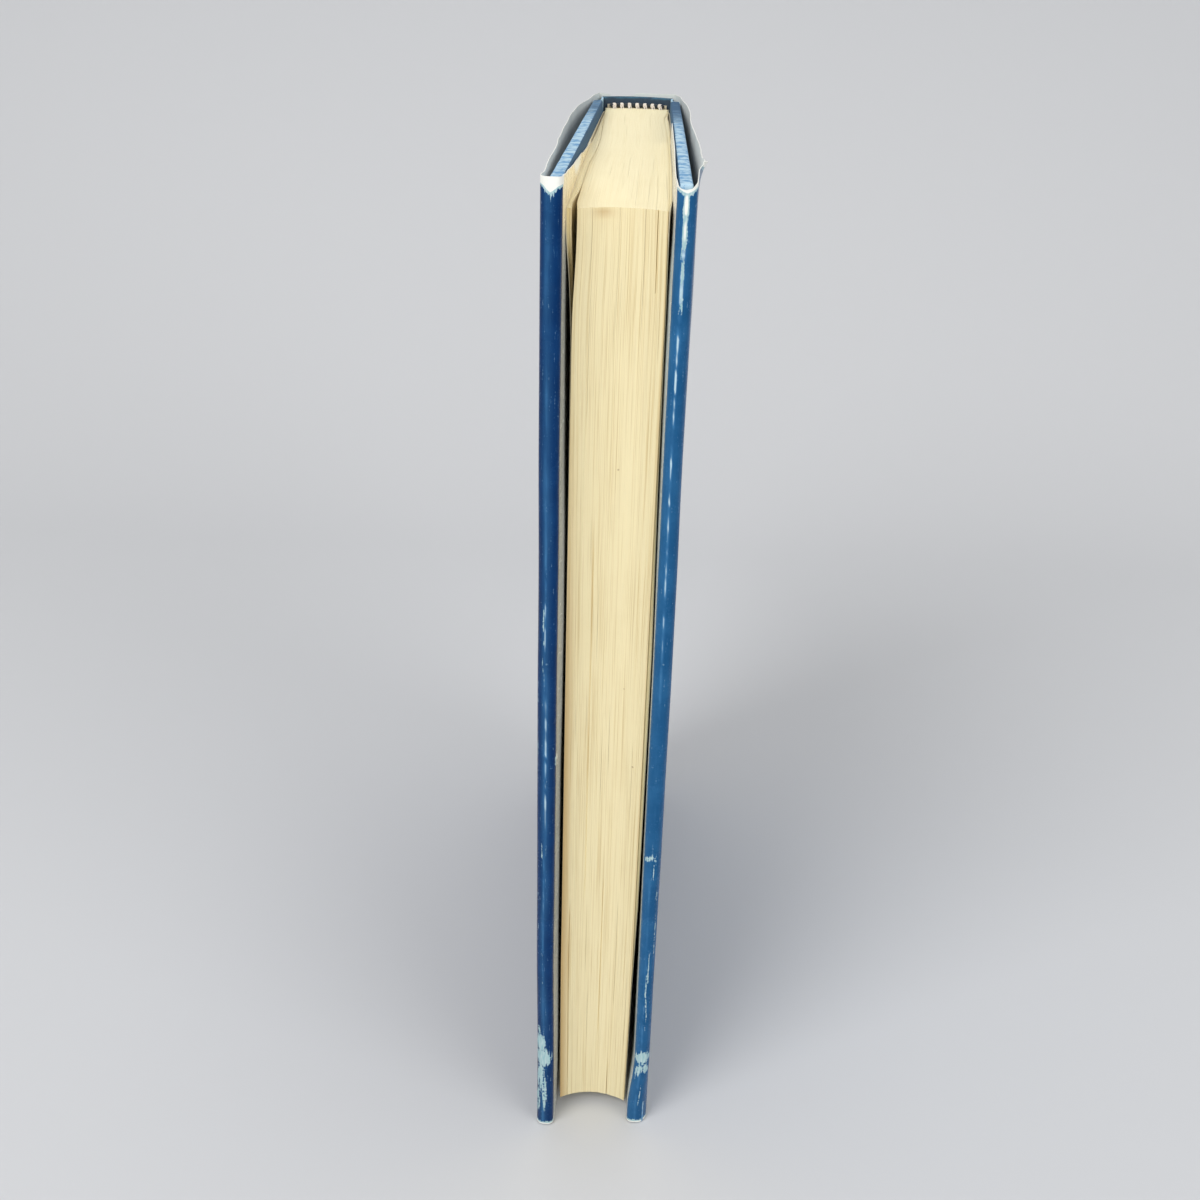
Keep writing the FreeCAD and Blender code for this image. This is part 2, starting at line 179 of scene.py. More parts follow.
# ---------------------------------------------------------------- meshes
def as_object(name: str, points: Grid, faces: Grid, chart: Grid, zones: Grid,
              materials: Sequence[bpy.types.Material], sharp_deg: float = 38.0,
              fields: dict[str, Grid] | None = None) -> bpy.types.Object:
    """Make a mesh object from millimetre points.

    Args:
        name: The piece's name.
        points: Points, one row each, in millimetres.
        faces: Four point numbers a row, counter-clockwise from outside.
        chart: Two flat coordinates, in metres, for each face corner.
        zones: The material's place for each face.
        materials: The materials that zones refer to.
        sharp_deg: Edges that turn more than this are sharp.
        fields: Named values, one a point, that the finishes read.

    Returns:
        The object, linked to the scene.
    """
    mesh = bpy.data.meshes.new(name)
    mesh.from_pydata((points * MM).tolist(), [], faces.tolist())
    layer = mesh.uv_layers.new(name=SHEET_MAP)
    layer.data.foreach_set("uv", np.asarray(chart, np.float32).reshape(-1))
    for material in materials:
        mesh.materials.append(material)
    mesh.polygons.foreach_set("material_index", np.asarray(zones, np.int32))
    mesh.polygons.foreach_set("use_smooth", np.ones(len(faces), bool))
    for label, values in (fields or {}).items():
        attribute = mesh.attributes.new(label, "FLOAT", "POINT")
        attribute.data.foreach_set("value", np.asarray(values, np.float32))
    mesh.update()
    mesh.set_sharp_from_angle(angle=math.radians(sharp_deg))
    thing = bpy.data.objects.new(name, mesh)
    bpy.context.scene.collection.objects.link(thing)
    return thing


def grid_normals(face: Grid) -> Grid:
    """Return unit normals of a grid of points, rows by columns."""
    normal = np.cross(np.gradient(face, axis=0), np.gradient(face, axis=1))
    return normal / np.maximum(np.linalg.norm(normal, axis=2, keepdims=True), 1e-12)


def grid_quads(index: Grid) -> Grid:
    """Return the quads of a grid of point numbers, one row each."""
    quads = np.stack([index[:-1, :-1], index[1:, :-1], index[1:, 1:], index[:-1, 1:]], axis=-1)
    return quads.reshape(-1, 4)


def sheet(name: str, face: Grid, thickness: float, chart: Grid,
          materials: Sequence[bpy.types.Material],
          fields: dict[str, Grid] | None = None) -> bpy.types.Object:
    """Make a thin sheet: its face, its back and the rim round them.

    Args:
        name: The piece's name.
        face: The face's points, rows by columns, in millimetres; it looks to row x column.
        thickness: The sheet's thickness, away from the face; below 0 the face looks the other
            way, and the sheet lies beyond it.
        chart: Flat coordinates in metres, rows by columns.
        materials: Those of the face, the back and the rim.
        fields: Named values, rows by columns.

    Returns:
        The sheet.
    """
    rows, columns = face.shape[:2]
    count = rows * columns
    back = face - grid_normals(face) * thickness
    index = np.arange(count).reshape(rows, columns)
    border = np.concatenate([index[:-1, 0], index[-1, :-1], index[:0:-1, -1], index[0, :0:-1]])
    after = np.roll(border, -1)
    rim = np.stack([border, border + count, after + count, after], axis=-1)
    front = grid_quads(index)
    faces = np.concatenate([front, front[:, ::-1] + count, rim])
    if thickness < 0:
        faces = faces[:, ::-1]
    zones = np.repeat([0, 1, 2], [len(front), len(front), len(rim)])
    points = np.concatenate([face.reshape(-1, 3), back.reshape(-1, 3)])
    flat = np.concatenate([chart.reshape(-1, 2)] * 2)
    doubled = {label: np.concatenate([values.reshape(-1)] * 2)
               for label, values in (fields or {}).items()}
    return as_object(name, points, faces, flat[faces.reshape(-1)], zones, materials,
                     fields=doubled)


class Side(Enum):
    """The six sides of a lattice block, by axis and end."""

    LEFT = (0, 0)
    RIGHT = (0, 1)
    FORE = (1, 0)
    SPINE = (1, 1)
    TAIL = (2, 0)
    HEAD = (2, 1)


def lattice(*stops: Grid) -> tuple[Grid, Grid, dict[Side, Grid]]:
    """Return the surface of a block of cells.

    Args:
        *stops: The places between the cells, along each of the three axes.

    Returns:
        The surface's points as whole steps along the axes, the same as places, and each
        side's quads, facing out.
    """
    counts = [len(places) - 1 for places in stops]
    stacks, shapes = [], []
    for side in Side:
        axis, end = side.value
        first, second = (axis + 1) % 3, (axis + 2) % 3
        steps = np.zeros((counts[first] + 1, counts[second] + 1, 3), int)
        steps[..., axis] = end * counts[axis]
        steps[..., first] = np.arange(counts[first] + 1)[:, None]
        steps[..., second] = np.arange(counts[second] + 1)[None, :]
        stacks.append(steps.reshape(-1, 3))
        shapes.append(steps.shape[:2])
    points, numbers = np.unique(np.concatenate(stacks), axis=0, return_inverse=True)
    numbers = numbers.reshape(-1)
    quads, start = {}, 0
    for side, shape in zip(Side, shapes):
        size = shape[0] * shape[1]
        found = grid_quads(numbers[start:start + size].reshape(shape))
        quads[side] = found if side.value[1] else found[:, ::-1]
        start += size
    places = np.stack([along[points[:, axis]] for axis, along in enumerate(stops)], axis=-1)
    return points, places, quads


def lattice_object(name: str, points: Grid, quads: dict[Side, Grid], flat: Grid,
                   zone_of: dict[Side, int], materials: Sequence[bpy.types.Material],
                   mirrored: bool = False, sharp_deg: float = 38.0,
                   fields: dict[str, Grid] | None = None) -> bpy.types.Object:
    """Make an object from a lattice whose points have been put in place.

    Args:
        name: The piece's name.
        points: The placed points, in millimetres.
        quads: Each side's quads.
        flat: Three coordinates a point, in metres, of which each side shows two.
        zone_of: The material's place for each side.
        materials: The materials.
        mirrored: Whether placing the points turned the block inside out.
        sharp_deg: Edges that turn more than this are sharp.
        fields: Named values, one a point.

    Returns:
        The object.
    """
    faces, charts, zones = [], [], []
    for side, found in quads.items():
        shown = found[:, ::-1] if mirrored else found
        axis = side.value[0]
        pair = {0: (1, 2), 1: (0, 2), 2: (0, 1)}[axis]
        faces.append(shown)
        charts.append(flat[shown.reshape(-1)][:, pair])
        zones.append(np.full(len(shown), zone_of[side]))
    return as_object(name, points, np.concatenate(faces), np.concatenate(charts),
                     np.concatenate(zones), materials, sharp_deg, fields)


def tube(path: Grid, radius: Grid | float, sides: int = 10) -> tuple[Grid, Grid]:
    """Return a closed tube round a path.

    Args:
        path: The path's points, in millimetres.
        radius: The tube's radius, one for all or one a point.
        sides: How many sides it has.

    Returns:
        Its points and its quads; each end is closed by quads to a middle point.
    """
    path = np.asarray(path, float)
    radius = np.broadcast_to(np.asarray(radius, float), len(path))
    along = np.gradient(path, axis=0)
    along /= np.linalg.norm(along, axis=1, keepdims=True)
    helper = np.array([0.0, 0.0, 1.0]) if abs(along[0, 2]) < 0.8 else np.array([1.0, 0.0, 0.0])
    first = np.cross(along, helper)
    first /= np.linalg.norm(first, axis=1, keepdims=True)
    second = np.cross(along, first)
    turn = np.linspace(0, 2 * math.pi, sides, endpoint=False)
    ring = (first[:, None] * np.cos(turn)[None, :, None]
            + second[:, None] * np.sin(turn)[None, :, None])
    body = path[:, None] + ring * radius[:, None, None]
    points = np.concatenate([body.reshape(-1, 3), path[:1], path[-1:]])
    index = np.arange(len(path) * sides).reshape(len(path), sides)
    looped = np.concatenate([index, index[:, :1]], axis=1)
    quads = [grid_quads(looped)[:, ::-1]]
    pairs = np.arange(0, sides, 2)
    start, end = len(points) - 2, len(points) - 1
    low, high = looped[0], looped[-1]
    quads.append(np.stack([np.full(len(pairs), start), low[pairs + 2], low[pairs + 1],
                           low[pairs]], axis=-1))
    quads.append(np.stack([np.full(len(pairs), end), high[pairs], high[pairs + 1],
                           high[pairs + 2]], axis=-1))
    return points, np.concatenate(quads)


def tubes_object(name: str, parts: Sequence[tuple[Grid, Grid]],
                 material: bpy.types.Material) -> bpy.types.Object:
    """Make one object of several tubes.

    Args:
        name: The piece's name.
        parts: Each tube's points and quads.
        material: The material of all.

    Returns:
        The object.
    """
    points, faces, count = [], [], 0
    for part_points, part_faces in parts:
        points.append(part_points)
        faces.append(part_faces + count)
        count += len(part_points)
    every = np.concatenate(points)
    quads = np.concatenate(faces)
    chart = every[quads.reshape(-1)][:, (0, 2)] * MM
    return as_object(name, every, quads, chart, np.zeros(len(quads)), [material],
                     sharp_deg=75)


# ---------------------------------------------------------------- finishes
class Bench:
    """The nodes of one material or group, with short ways to lay and join them."""

    def __init__(self, tree: bpy.types.NodeTree) -> None:
        """Take the tree to work on."""
        self.tree = tree

    def lay(self, kind: str, inputs: dict[Any, Any] | None = None,
            **settings: Any) -> bpy.types.Node:
        """Add a node.

        Args:
            kind: The node's type.
            inputs: Values or sockets for its inputs, by name or place.
            **settings: The node's own properties.

        Returns:
            The node.
        """
        node = self.tree.nodes.new(kind)
        for label, value in settings.items():
            setattr(node, label, value)
        for label, value in (inputs or {}).items():
            self.feed(node.inputs[label], value)
        return node

    def feed(self, target: Socket, value: Any) -> None:
        """Join an input to a socket, or set it to a value."""
        if isinstance(value, Socket):
            self.tree.links.new(value, target)
        else:
            target.default_value = value

    def sums(self, operation: str, first: Any, second: Any = 0.0,
             clamped: bool = False) -> Socket:
        """Return the result of a Math node."""
        return self.lay("ShaderNodeMath", {0: first, 1: second}, operation=operation,
                        use_clamp=clamped).outputs[0]

    def plus(self, first: Any, second: Any, clamped: bool = False) -> Socket:
        """Return a sum, kept to 0..1 if clamped."""
        return self.sums("ADD", first, second, clamped)

    def less(self, first: Any, second: Any) -> Socket:
        """Return the first less the second."""
        return self.sums("SUBTRACT", first, second)

    def times(self, first: Any, second: Any, clamped: bool = False) -> Socket:
        """Return a product, kept to 0..1 if clamped."""
        return self.sums("MULTIPLY", first, second, clamped)

    def weighed(self, first: Socket, share: float, second: Socket) -> Socket:
        """Return a mean of two values, the first's share given."""
        return self.plus(self.times(first, share), self.times(second, round(1 - share, 9)))

    def scaled(self, vector: Socket, scale: Any) -> Socket:
        """Return a vector times one number."""
        return self.lay("ShaderNodeVectorMath", {0: vector, "Scale": scale},
                        operation="SCALE").outputs[0]

    def stretched(self, vector: Socket, scale: tuple[float, float, float]) -> Socket:
        """Return a vector multiplied axis by axis."""
        return self.lay("ShaderNodeVectorMath", {0: vector, 1: scale},
                        operation="MULTIPLY").outputs[0]

    def cloud(self, vector: Socket, scale: float, detail: float = 3.0,
              roughness: float = 0.55) -> Socket:
        """Return a noise value about 0.5."""
        return self.lay("ShaderNodeTexNoise", {
            "Vector": vector, "Scale": scale, "Detail": detail, "Roughness": roughness,
        }).outputs["Fac"]

    def rise(self, value: Socket, low: Any, high: Any) -> Socket:
        """Return a smooth rise from 0 at low to 1 at high."""
        return self.lay("ShaderNodeMapRange", {"Value": value, 1: low, 2: high},
                        interpolation_type="SMOOTHSTEP").outputs[0]

    def fall(self, value: Socket, low: float, high: float) -> Socket:
        """Return a smooth fall from 1 at low to 0 at high."""
        return self.less(1.0, self.rise(value, low, high))

    def span(self, value: Socket, low: float, high: float) -> Socket:
        """Return a value from 0..1 carried to low..high."""
        return self.lay("ShaderNodeMapRange", {"Value": value, 3: low, 4: high}).outputs[0]

    def blend(self, share: Any, first: Any, second: Any) -> Socket:
        """Return a mix of two colours."""
        node = self.lay("ShaderNodeMix", data_type="RGBA")
        for place, value in ((0, share), (6, first), (7, second)):
            self.feed(node.inputs[place], value)
        return node.outputs[2]

    def chart(self) -> Socket:
        """Return the sheet's flat coordinates, in metres."""
        return self.lay("ShaderNodeUVMap", uv_map=SHEET_MAP).outputs["UV"]

    def place(self) -> Socket:
        """Return the piece's own coordinates, in metres."""
        return self.lay("ShaderNodeTexCoord").outputs["Object"]

    def field(self, label: str) -> Socket:
        """Return a named value that the mesh carries."""
        return self.lay("ShaderNodeAttribute", attribute_name=label).outputs["Fac"]

    def relief(self, height: Socket, depth: float, strength: float = 1.0,
               under: Socket | None = None) -> Socket:
        """Return the normal of a relief.

        Args:
            height: The relief, 0 to 1.
            depth: How deep 0 to 1 is, in metres.
            strength: How much of it is felt.
            under: The normal of a relief under it.

        Returns:
            The normal.
        """
        inputs = {"Height": height, "Distance": depth, "Strength": strength}
        if under is not None:
            inputs["Normal"] = under
        return self.lay("ShaderNodeBump", inputs).outputs[0]

    def effect(self, group: bpy.types.NodeTree, **inputs: Any) -> bpy.types.Node:
        """Place a shared effect with this material's own values."""
        node = self.lay("ShaderNodeGroup", node_tree=group)
        for label, value in inputs.items():
            self.feed(node.inputs[label.title()], value)
        return node


class Effects:
    """Shader effects that several finishes share, each built once."""

    def __init__(self) -> None:
        """Build the effects."""
        self.fibres = self.group("paper_fibres", {"Vector": None, "Scale": 1.0, "Soiling": 0.5},
                                 {"Height": "Float", "Tone": "Float"}, self.build_fibres)
        self.weave = self.group("cloth_weave", {"Vector": None, "Pitch": 0.0004},
                                {"Height": "Float", "Tone": "Float"}, self.build_weave)
        self.rubbing = self.group("rubbed_through", {"Vector": None, "Wear": 0.0, "Grain": 1.0},
                                  {"Mask": "Float", "Haze": "Float"}, self.build_rubbing)
        self.leaf_lines = self.group("leaf_lines", {"Vector": None, "Contrast": 1.0},
                                     {"Height": "Float", "Tone": "Float", "Gap": "Float"},
                                     self.build_leaf_lines)
        self.strands = self.group("spun_strands", {"Vector": None, "Scale": 1.0},
                                  {"Height": "Float", "Tone": "Float"}, self.build_strands)

    @staticmethod
    def group(name: str, inputs: dict[str, float | None], outputs: dict[str, str],
              build: Callable[[Bench, bpy.types.NodeOutputs], dict[str, Socket]]
              ) -> bpy.types.NodeTree:
        """Make a node group.

        Args:
            name: The effect's name.
            inputs: Each input's usual value, or None for a vector.
            outputs: Each output's kind.
            build: Lays the nodes and returns the socket for each output.

        Returns:
            The group.
        """
        tree = bpy.data.node_groups.new(name, "ShaderNodeTree")
        for label, value in inputs.items():
            kind = "NodeSocketVector" if value is None else "NodeSocketFloat"
            socket = tree.interface.new_socket(label, in_out="INPUT", socket_type=kind)
            if value is not None:
                socket.default_value = value
        for label, kind in outputs.items():
            tree.interface.new_socket(label, in_out="OUTPUT", socket_type="NodeSocket" + kind)
        start, end = tree.nodes.new("NodeGroupInput"), tree.nodes.new("NodeGroupOutput")
        for label, socket in build(Bench(tree), start.outputs).items():
            tree.links.new(socket, end.inputs[label])
        return tree

    @staticmethod
    def build_fibres(bench: Bench, given: bpy.types.NodeOutputs) -> dict[str, Socket]:
        """Lay the felted fibres and uneven tone of uncoated paper."""
        vector = bench.scaled(given["Vector"], given["Scale"])
        fine = bench.cloud(vector, 5200.0, 2.0)
        coarse = bench.cloud(vector, 900.0, 3.0)
        soil = bench.cloud(vector, 60.0, 4.0, 0.6)
        height = bench.weighed(fine, 0.6, coarse)
        stain = bench.times(bench.rise(soil, 0.45, 0.75), given["Soiling"])
        tone = bench.plus(bench.span(height, -0.25, 0.25), stain, clamped=True)
        return {"Height": height, "Tone": tone}

    @staticmethod
    def build_weave(bench: Bench, given: bpy.types.NodeOutputs) -> dict[str, Socket]:
        """Lay a plain weave of starched threads, over and under."""
        vector = given["Vector"]
        shares = bench.scaled(vector, bench.sums("DIVIDE", math.pi, given["Pitch"]))
        wander = bench.cloud(vector, 700.0, 2.0)
        parts = bench.lay("ShaderNodeSeparateXYZ", {0: shares})
        drift = bench.times(bench.less(wander, 0.5), 2.4)
        across = bench.sums("SINE", bench.plus(parts.outputs[0], drift))
        along = bench.sums("SINE", bench.plus(parts.outputs[1], drift))
        over = bench.times(across, along)
        height = bench.span(over, 0.5, 1.0)
        slub = bench.cloud(bench.stretched(vector, (1.0, 0.5, 1.0)), 2000.0, 3.0, 0.65)
        tone = bench.weighed(height, 0.4, slub)
        return {"Height": height, "Tone": tone}

    @staticmethod
    def build_rubbing(bench: Bench, given: bpy.types.NodeOutputs) -> dict[str, Socket]:
        """Lay print rubbed through: solid where wear is full, broken up where it is slight."""
        vector = bench.scaled(given["Vector"], given["Grain"])
        ragged = bench.cloud(vector, 1700.0, 4.0, 0.65)
        streaked = bench.cloud(bench.stretched(vector, (1.0, 0.09, 1.0)), 2700.0, 3.0, 0.6)
        broken = bench.weighed(ragged, 0.36, streaked)
        # Noise stays near its middle, so it is spread before it is set against the wear.
        spread = bench.rise(broken, 0.33, 0.67)
        left = bench.less(given["Wear"], spread)
        mask = bench.rise(left, -0.06, 0.18)
        haze = bench.rise(left, -0.18, 0.2)
        return {"Mask": mask, "Haze": haze}

    @staticmethod
    def build_leaf_lines(bench: Bench, given: bpy.types.NodeOutputs) -> dict[str, Socket]:
        """Lay the lines of trimmed leaves, across the first coordinate."""
        vector = given["Vector"]
        leaf = bench.cloud(bench.stretched(vector, (1.0, 0.005, 1.0)), 6600.0, 2.0, 0.6)
        gather = bench.cloud(bench.stretched(vector, (1.0, 0.006, 1.0)), 3000.0, 3.0, 0.6)
        broad = bench.cloud(bench.stretched(vector, (1.0, 0.1, 1.0)), 230.0, 2.0, 0.5)
        height = bench.weighed(leaf, 0.6, gather)
        lines = bench.weighed(height, 0.85, broad)
        tone = bench.plus(0.5, bench.times(bench.less(lines, 0.5), given["Contrast"]),
                          clamped=True)
        split = bench.cloud(bench.stretched(vector, (1.0, 0.0035, 1.0)), 3600.0, 2.0, 0.7)
        gap = bench.fall(split, 0.28, 0.34)
        return {"Height": bench.less(height, gap), "Tone": tone, "Gap": gap}

    @staticmethod
    def build_strands(bench: Bench, given: bpy.types.NodeOutputs) -> dict[str, Socket]:
        """Lay the fine twist of a spun thread."""
        vector = bench.scaled(given["Vector"], given["Scale"])
        twist = bench.cloud(bench.stretched(vector, (1.0, 1.0, 2.2)), 5200.0, 3.0, 0.6)
        fluff = bench.cloud(vector, 1500.0, 2.0)
        return {"Height": twist, "Tone": bench.weighed(twist, 0.6, fluff)}


def painted(name: str, colour: Any, roughness: Any, normal: Socket | None,
            bench: Bench, constants: dict[str, Any]) -> None:
    """Finish a material with its shader.

    Args:
        name: The material's name, for the output's label.
        colour: The base colour, a value or a socket.
        roughness: The roughness, a value or a socket.
        normal: The normal, if there is relief.
        bench: The material's nodes.
        constants: Values set on the shader itself.
    """
    inputs = {"Base Color": colour, "Roughness": roughness}
    if normal is not None:
        inputs["Normal"] = normal
    shader = bench.lay("ShaderNodeBsdfPrincipled", {**inputs, **constants}, label=name)
    bench.lay("ShaderNodeOutputMaterial", {"Surface": shader.outputs[0]})


def blank(name: str) -> tuple[bpy.types.Material, Bench]:
    """Return a new material with no nodes, and its bench."""
    material = bpy.data.materials.new(name)
    material.use_nodes = True
    material.node_tree.nodes.clear()
    return material, Bench(material.node_tree)


@dataclass(frozen=True)
class Coating:
    """What every finish has: a name, and nodes to lay on a new material."""

    name: str

    def make(self, effects: Effects) -> bpy.types.Material:
        """Return the finish's material, laid with the shared effects."""
        material, bench = blank(self.name)
        self.lay(bench, effects)
        return material

    def lay(self, bench: Bench, effects: Effects) -> None:
        """Lay the nodes.

        Args:
            bench: The material's nodes.
            effects: The shared effects.
        """
        raise NotImplementedError


@dataclass(frozen=True)
class JacketPrint(Coating):
    """Glossy coated paper printed one blue all over, with a bare field on the flap, and a painted
    sheen and highlight streak down each fold.
    """

    ink: Colour
    ink_faded: Colour
    flap_from: float = 0.0023
    bare: Colour = srgb(226, 228, 232)
    # Cream from a given height up the flap's bare field: painted reflected light from the cream
    # leaves.
    leaf_bounce: Colour = srgb(250, 234, 196)
    rubbed: Colour = srgb(152, 190, 196)
    scraped: Colour = srgb(192, 212, 212)
    torn: Colour = srgb(244, 244, 236)
    # Lighter blue of rub haze and scuffs, and of the painted sheen down the fold.
    haze_and_sheen: Colour = srgb(70, 128, 176)
    # Colour of the thin painted highlight streak.
    painted_glint: Colour = srgb(190, 216, 226)
    leaf_bounce_from: float = 0.2085

    def lay(self, bench: Bench, effects: Effects) -> None:
        """Lay the nodes.

        Args:
            bench: The material's nodes.
            effects: The shared effects.
        """
        chart = bench.chart()
        fibres = bench.effect(effects.fibres, vector=chart, soiling=0.35)
        rub_and_glint = bench.effect(effects.rubbing, vector=chart, wear=bench.field(WEAR_AND_GLINTS))
        scuffs = bench.effect(effects.rubbing, vector=chart, grain=0.35, wear=0.02)
        parts = bench.lay("ShaderNodeSeparateXYZ", {0: chart})
        along, up = parts.outputs[0], parts.outputs[1]
        edge = bench.plus(along, bench.span(bench.cloud(chart, 900.0), -0.0003, 0.0003))
        flap = bench.rise(edge, self.flap_from - 0.0001, self.flap_from + 0.0001)
        mottle = bench.rise(bench.cloud(chart, 130.0, 4.0, 0.6), 0.35, 0.72)
        ink = bench.blend(mottle, self.ink, self.ink_faded)
        # Painted sheen: a soft highlight down the fold, broken up by streaky noise, and a thin
        # painted highlight streak where the field passes 0.7.
        sheen_breakup = bench.rise(bench.cloud(bench.stretched(chart, (1.0, 0.07, 1.0)), 1300.0, 4.0,
                                         0.6), 0.3, 0.72)
        pale = bench.times(bench.field(FADE_SHADE_AND_SHEEN), bench.span(sheen_breakup, 0.55, 1.0), clamped=True)
        ink = bench.blend(pale, ink, self.haze_and_sheen)
        ink = bench.blend(bench.rise(bench.field(FADE_SHADE_AND_SHEEN), 0.7, 1.5), ink, self.painted_glint)
        ink = bench.blend(bench.times(rub_and_glint.outputs["Haze"], 0.45), ink, self.haze_and_sheen)
        ink = bench.blend(bench.times(scuffs.outputs["Mask"], 0.2), ink, self.haze_and_sheen)
        # Cream at the top of the bare field: painted reflected light from the leaves.
        bare = bench.blend(bench.rise(up, self.leaf_bounce_from - 0.004, self.leaf_bounce_from + 0.002),
                           self.bare, self.leaf_bounce)
        bare = bench.blend(bench.times(fibres.outputs["Tone"], 0.4), bare,
                           srgb(196, 186, 166))
        printed = bench.blend(flap, ink, bare)
        torn = bench.rise(bench.field(WEAR_AND_GLINTS), 1.15, 1.4)
        scraped = bench.rise(bench.cloud(bench.stretched(chart, (1.0, 0.12, 1.0)), 2800.0, 3.0,
                                         0.6), 0.3, 0.74)
        # Partial marks take the rubbed and scraped tints; on the thin streak marks these stand for
        # painted highlight.
        rubbed = bench.blend(flap, bench.blend(scraped, self.rubbed, self.scraped), self.torn)
        colour = bench.blend(rub_and_glint.outputs["Mask"], printed, bench.blend(torn, rubbed, self.torn))
        dull = bench.sums("MAXIMUM", rub_and_glint.outputs["Mask"],
                          bench.times(rub_and_glint.outputs["Haze"], 0.35))
        gloss = bench.plus(bench.span(bench.cloud(chart, 400.0), 0.2, 0.32),
                           bench.times(dull, 0.5), clamped=True)
        dents = bench.relief(bench.cloud(chart, 150.0, 2.0), 0.0009, 0.35)
        normal = bench.relief(bench.less(fibres.outputs["Height"], rub_and_glint.outputs["Mask"]),
                              0.00003, 0.5, dents)
        painted(self.name, colour, gloss, normal, bench,
                {"Specular IOR Level": 0.2, "Specular Tint": (0.45, 0.75, 1.0, 1.0)})


@dataclass(frozen=True)
class PlainPaper(Coating):
    """Uncoated paper: pastedowns, free leaves, the jacket's inside and torn edges."""

    colour: Colour
    soiled: Colour
    soiling: float = 0.4
    foxed: float = 0.0

    def lay(self, bench: Bench, effects: Effects) -> None:
        """Lay the nodes.

        Args:
            bench: The material's nodes.
            effects: The shared effects.
        """
        chart = bench.chart()
        fibres = bench.effect(effects.fibres, vector=chart, soiling=self.soiling)
        colour = bench.blend(fibres.outputs["Tone"], self.colour, self.soiled)
        if self.foxed:
            cells = bench.lay("ShaderNodeTexVoronoi", {"Vector": chart, "Scale": 130.0})
            spot = bench.times(bench.fall(cells.outputs["Distance"], 0.02, 0.09), self.foxed)
            colour = bench.blend(spot, colour, srgb(168, 124, 76))
        normal = bench.relief(fibres.outputs["Height"], 0.00004, 0.6)
        painted(self.name, colour, bench.span(fibres.outputs["Height"], 0.72, 0.95), normal,
                bench, {"Specular IOR Level": 0.25})


@dataclass(frozen=True)
class BookCloth(Coating):
    """Starched book cloth, faded and mottled where light and hands reach it."""

    deep: Colour
    faded: Colour
    patch: Colour
    pitch: float = 0.0002

    def lay(self, bench: Bench, effects: Effects) -> None:
        """Lay the nodes.

        Args:
            bench: The material's nodes.
            effects: The shared effects.
        """
        chart = bench.chart()
        weave = bench.effect(effects.weave, vector=chart, pitch=self.pitch)
        patchy = bench.span(bench.cloud(chart, 320.0, 4.0), -0.3, 0.3)
        fade = bench.rise(bench.plus(bench.field(FADE_SHADE_AND_SHEEN), patchy), 0.25, 0.75)
        mottle = bench.rise(bench.cloud(chart, 430.0, 4.0, 0.6), 0.43, 0.6)
        pale = bench.blend(mottle, self.faded, self.patch)
        ground = bench.blend(fade, self.deep, pale)
        thread = bench.blend(bench.span(weave.outputs["Tone"], 0.0, 0.1), ground,
                             srgb(212, 226, 236))
        # Painted shade in the weave's pits.
        pits = bench.times(bench.fall(weave.outputs["Height"], 0.5, 0.72), 0.1)
        colour = bench.blend(pits, thread, srgb(30, 64, 98))
        normal = bench.relief(weave.outputs["Height"], 0.00002, 0.5)
        painted(self.name, colour, bench.span(weave.outputs["Tone"], 0.62, 0.86), normal,
                bench, {"Specular IOR Level": 0.2})


@dataclass(frozen=True)
class TrimmedLeaves(Coating):
    """The trimmed edges of aged leaves, with their lines, darker towards one cover in painted
    shade and with painted shade in the splits between leaves.
    """

    paper: Colour
    line: Colour
    shade_and_soil_tint: Colour
    contrast: float = 1.5
    gap_shade: float = 0.6

    def lay(self, bench: Bench, effects: Effects) -> None:
        """Lay the nodes.

        Args:
            bench: The material's nodes.
            effects: The shared effects.
        """
        chart = bench.chart()
        lines = bench.effect(effects.leaf_lines, vector=chart, contrast=self.contrast)
        fibres = bench.effect(effects.fibres, vector=chart, soiling=0.3)
        colour = bench.blend(bench.rise(lines.outputs["Tone"], 0.42, 0.95), self.paper,
                             self.line)
        colour = bench.blend(bench.times(fibres.outputs["Tone"], 0.35), colour,
                             self.line)
        # Painted shade in the splits between leaves.
        colour = bench.blend(bench.times(lines.outputs["Gap"], self.gap_shade),
                             colour, srgb(140, 108, 66))
        colour = bench.blend(bench.field(FADE_SHADE_AND_SHEEN), colour, self.shade_and_soil_tint)
        cells = bench.lay("ShaderNodeTexVoronoi", {"Vector": chart, "Scale": 95.0})
        speck = bench.times(bench.fall(cells.outputs["Distance"], 0.008, 0.03), 0.55)
        colour = bench.blend(speck, colour, srgb(150, 112, 66))
        normal = bench.relief(lines.outputs["Height"], 0.00012, 0.7)
        normal = bench.relief(fibres.outputs["Height"], 0.00004, 0.5, normal)
        painted(self.name, colour, 0.85, normal, bench, {"Specular IOR Level": 0.2})


@dataclass(frozen=True)
class Thread(Coating):
    """Spun cotton thread."""

    colour: Colour
    shaded: Colour

    def lay(self, bench: Bench, effects: Effects) -> None:
        """Lay the nodes.

        Args:
            bench: The material's nodes.
            effects: The shared effects.
        """
        strands = bench.effect(effects.strands, vector=bench.place())
        colour = bench.blend(bench.rise(strands.outputs["Tone"], 0.35, 0.7), self.shaded,
                             self.colour)
        normal = bench.relief(strands.outputs["Height"], 0.00006, 0.6)
        painted(self.name, colour, 0.75, normal, bench,
                {"Sheen Weight": 0.2, "Sheen Roughness": 0.4})


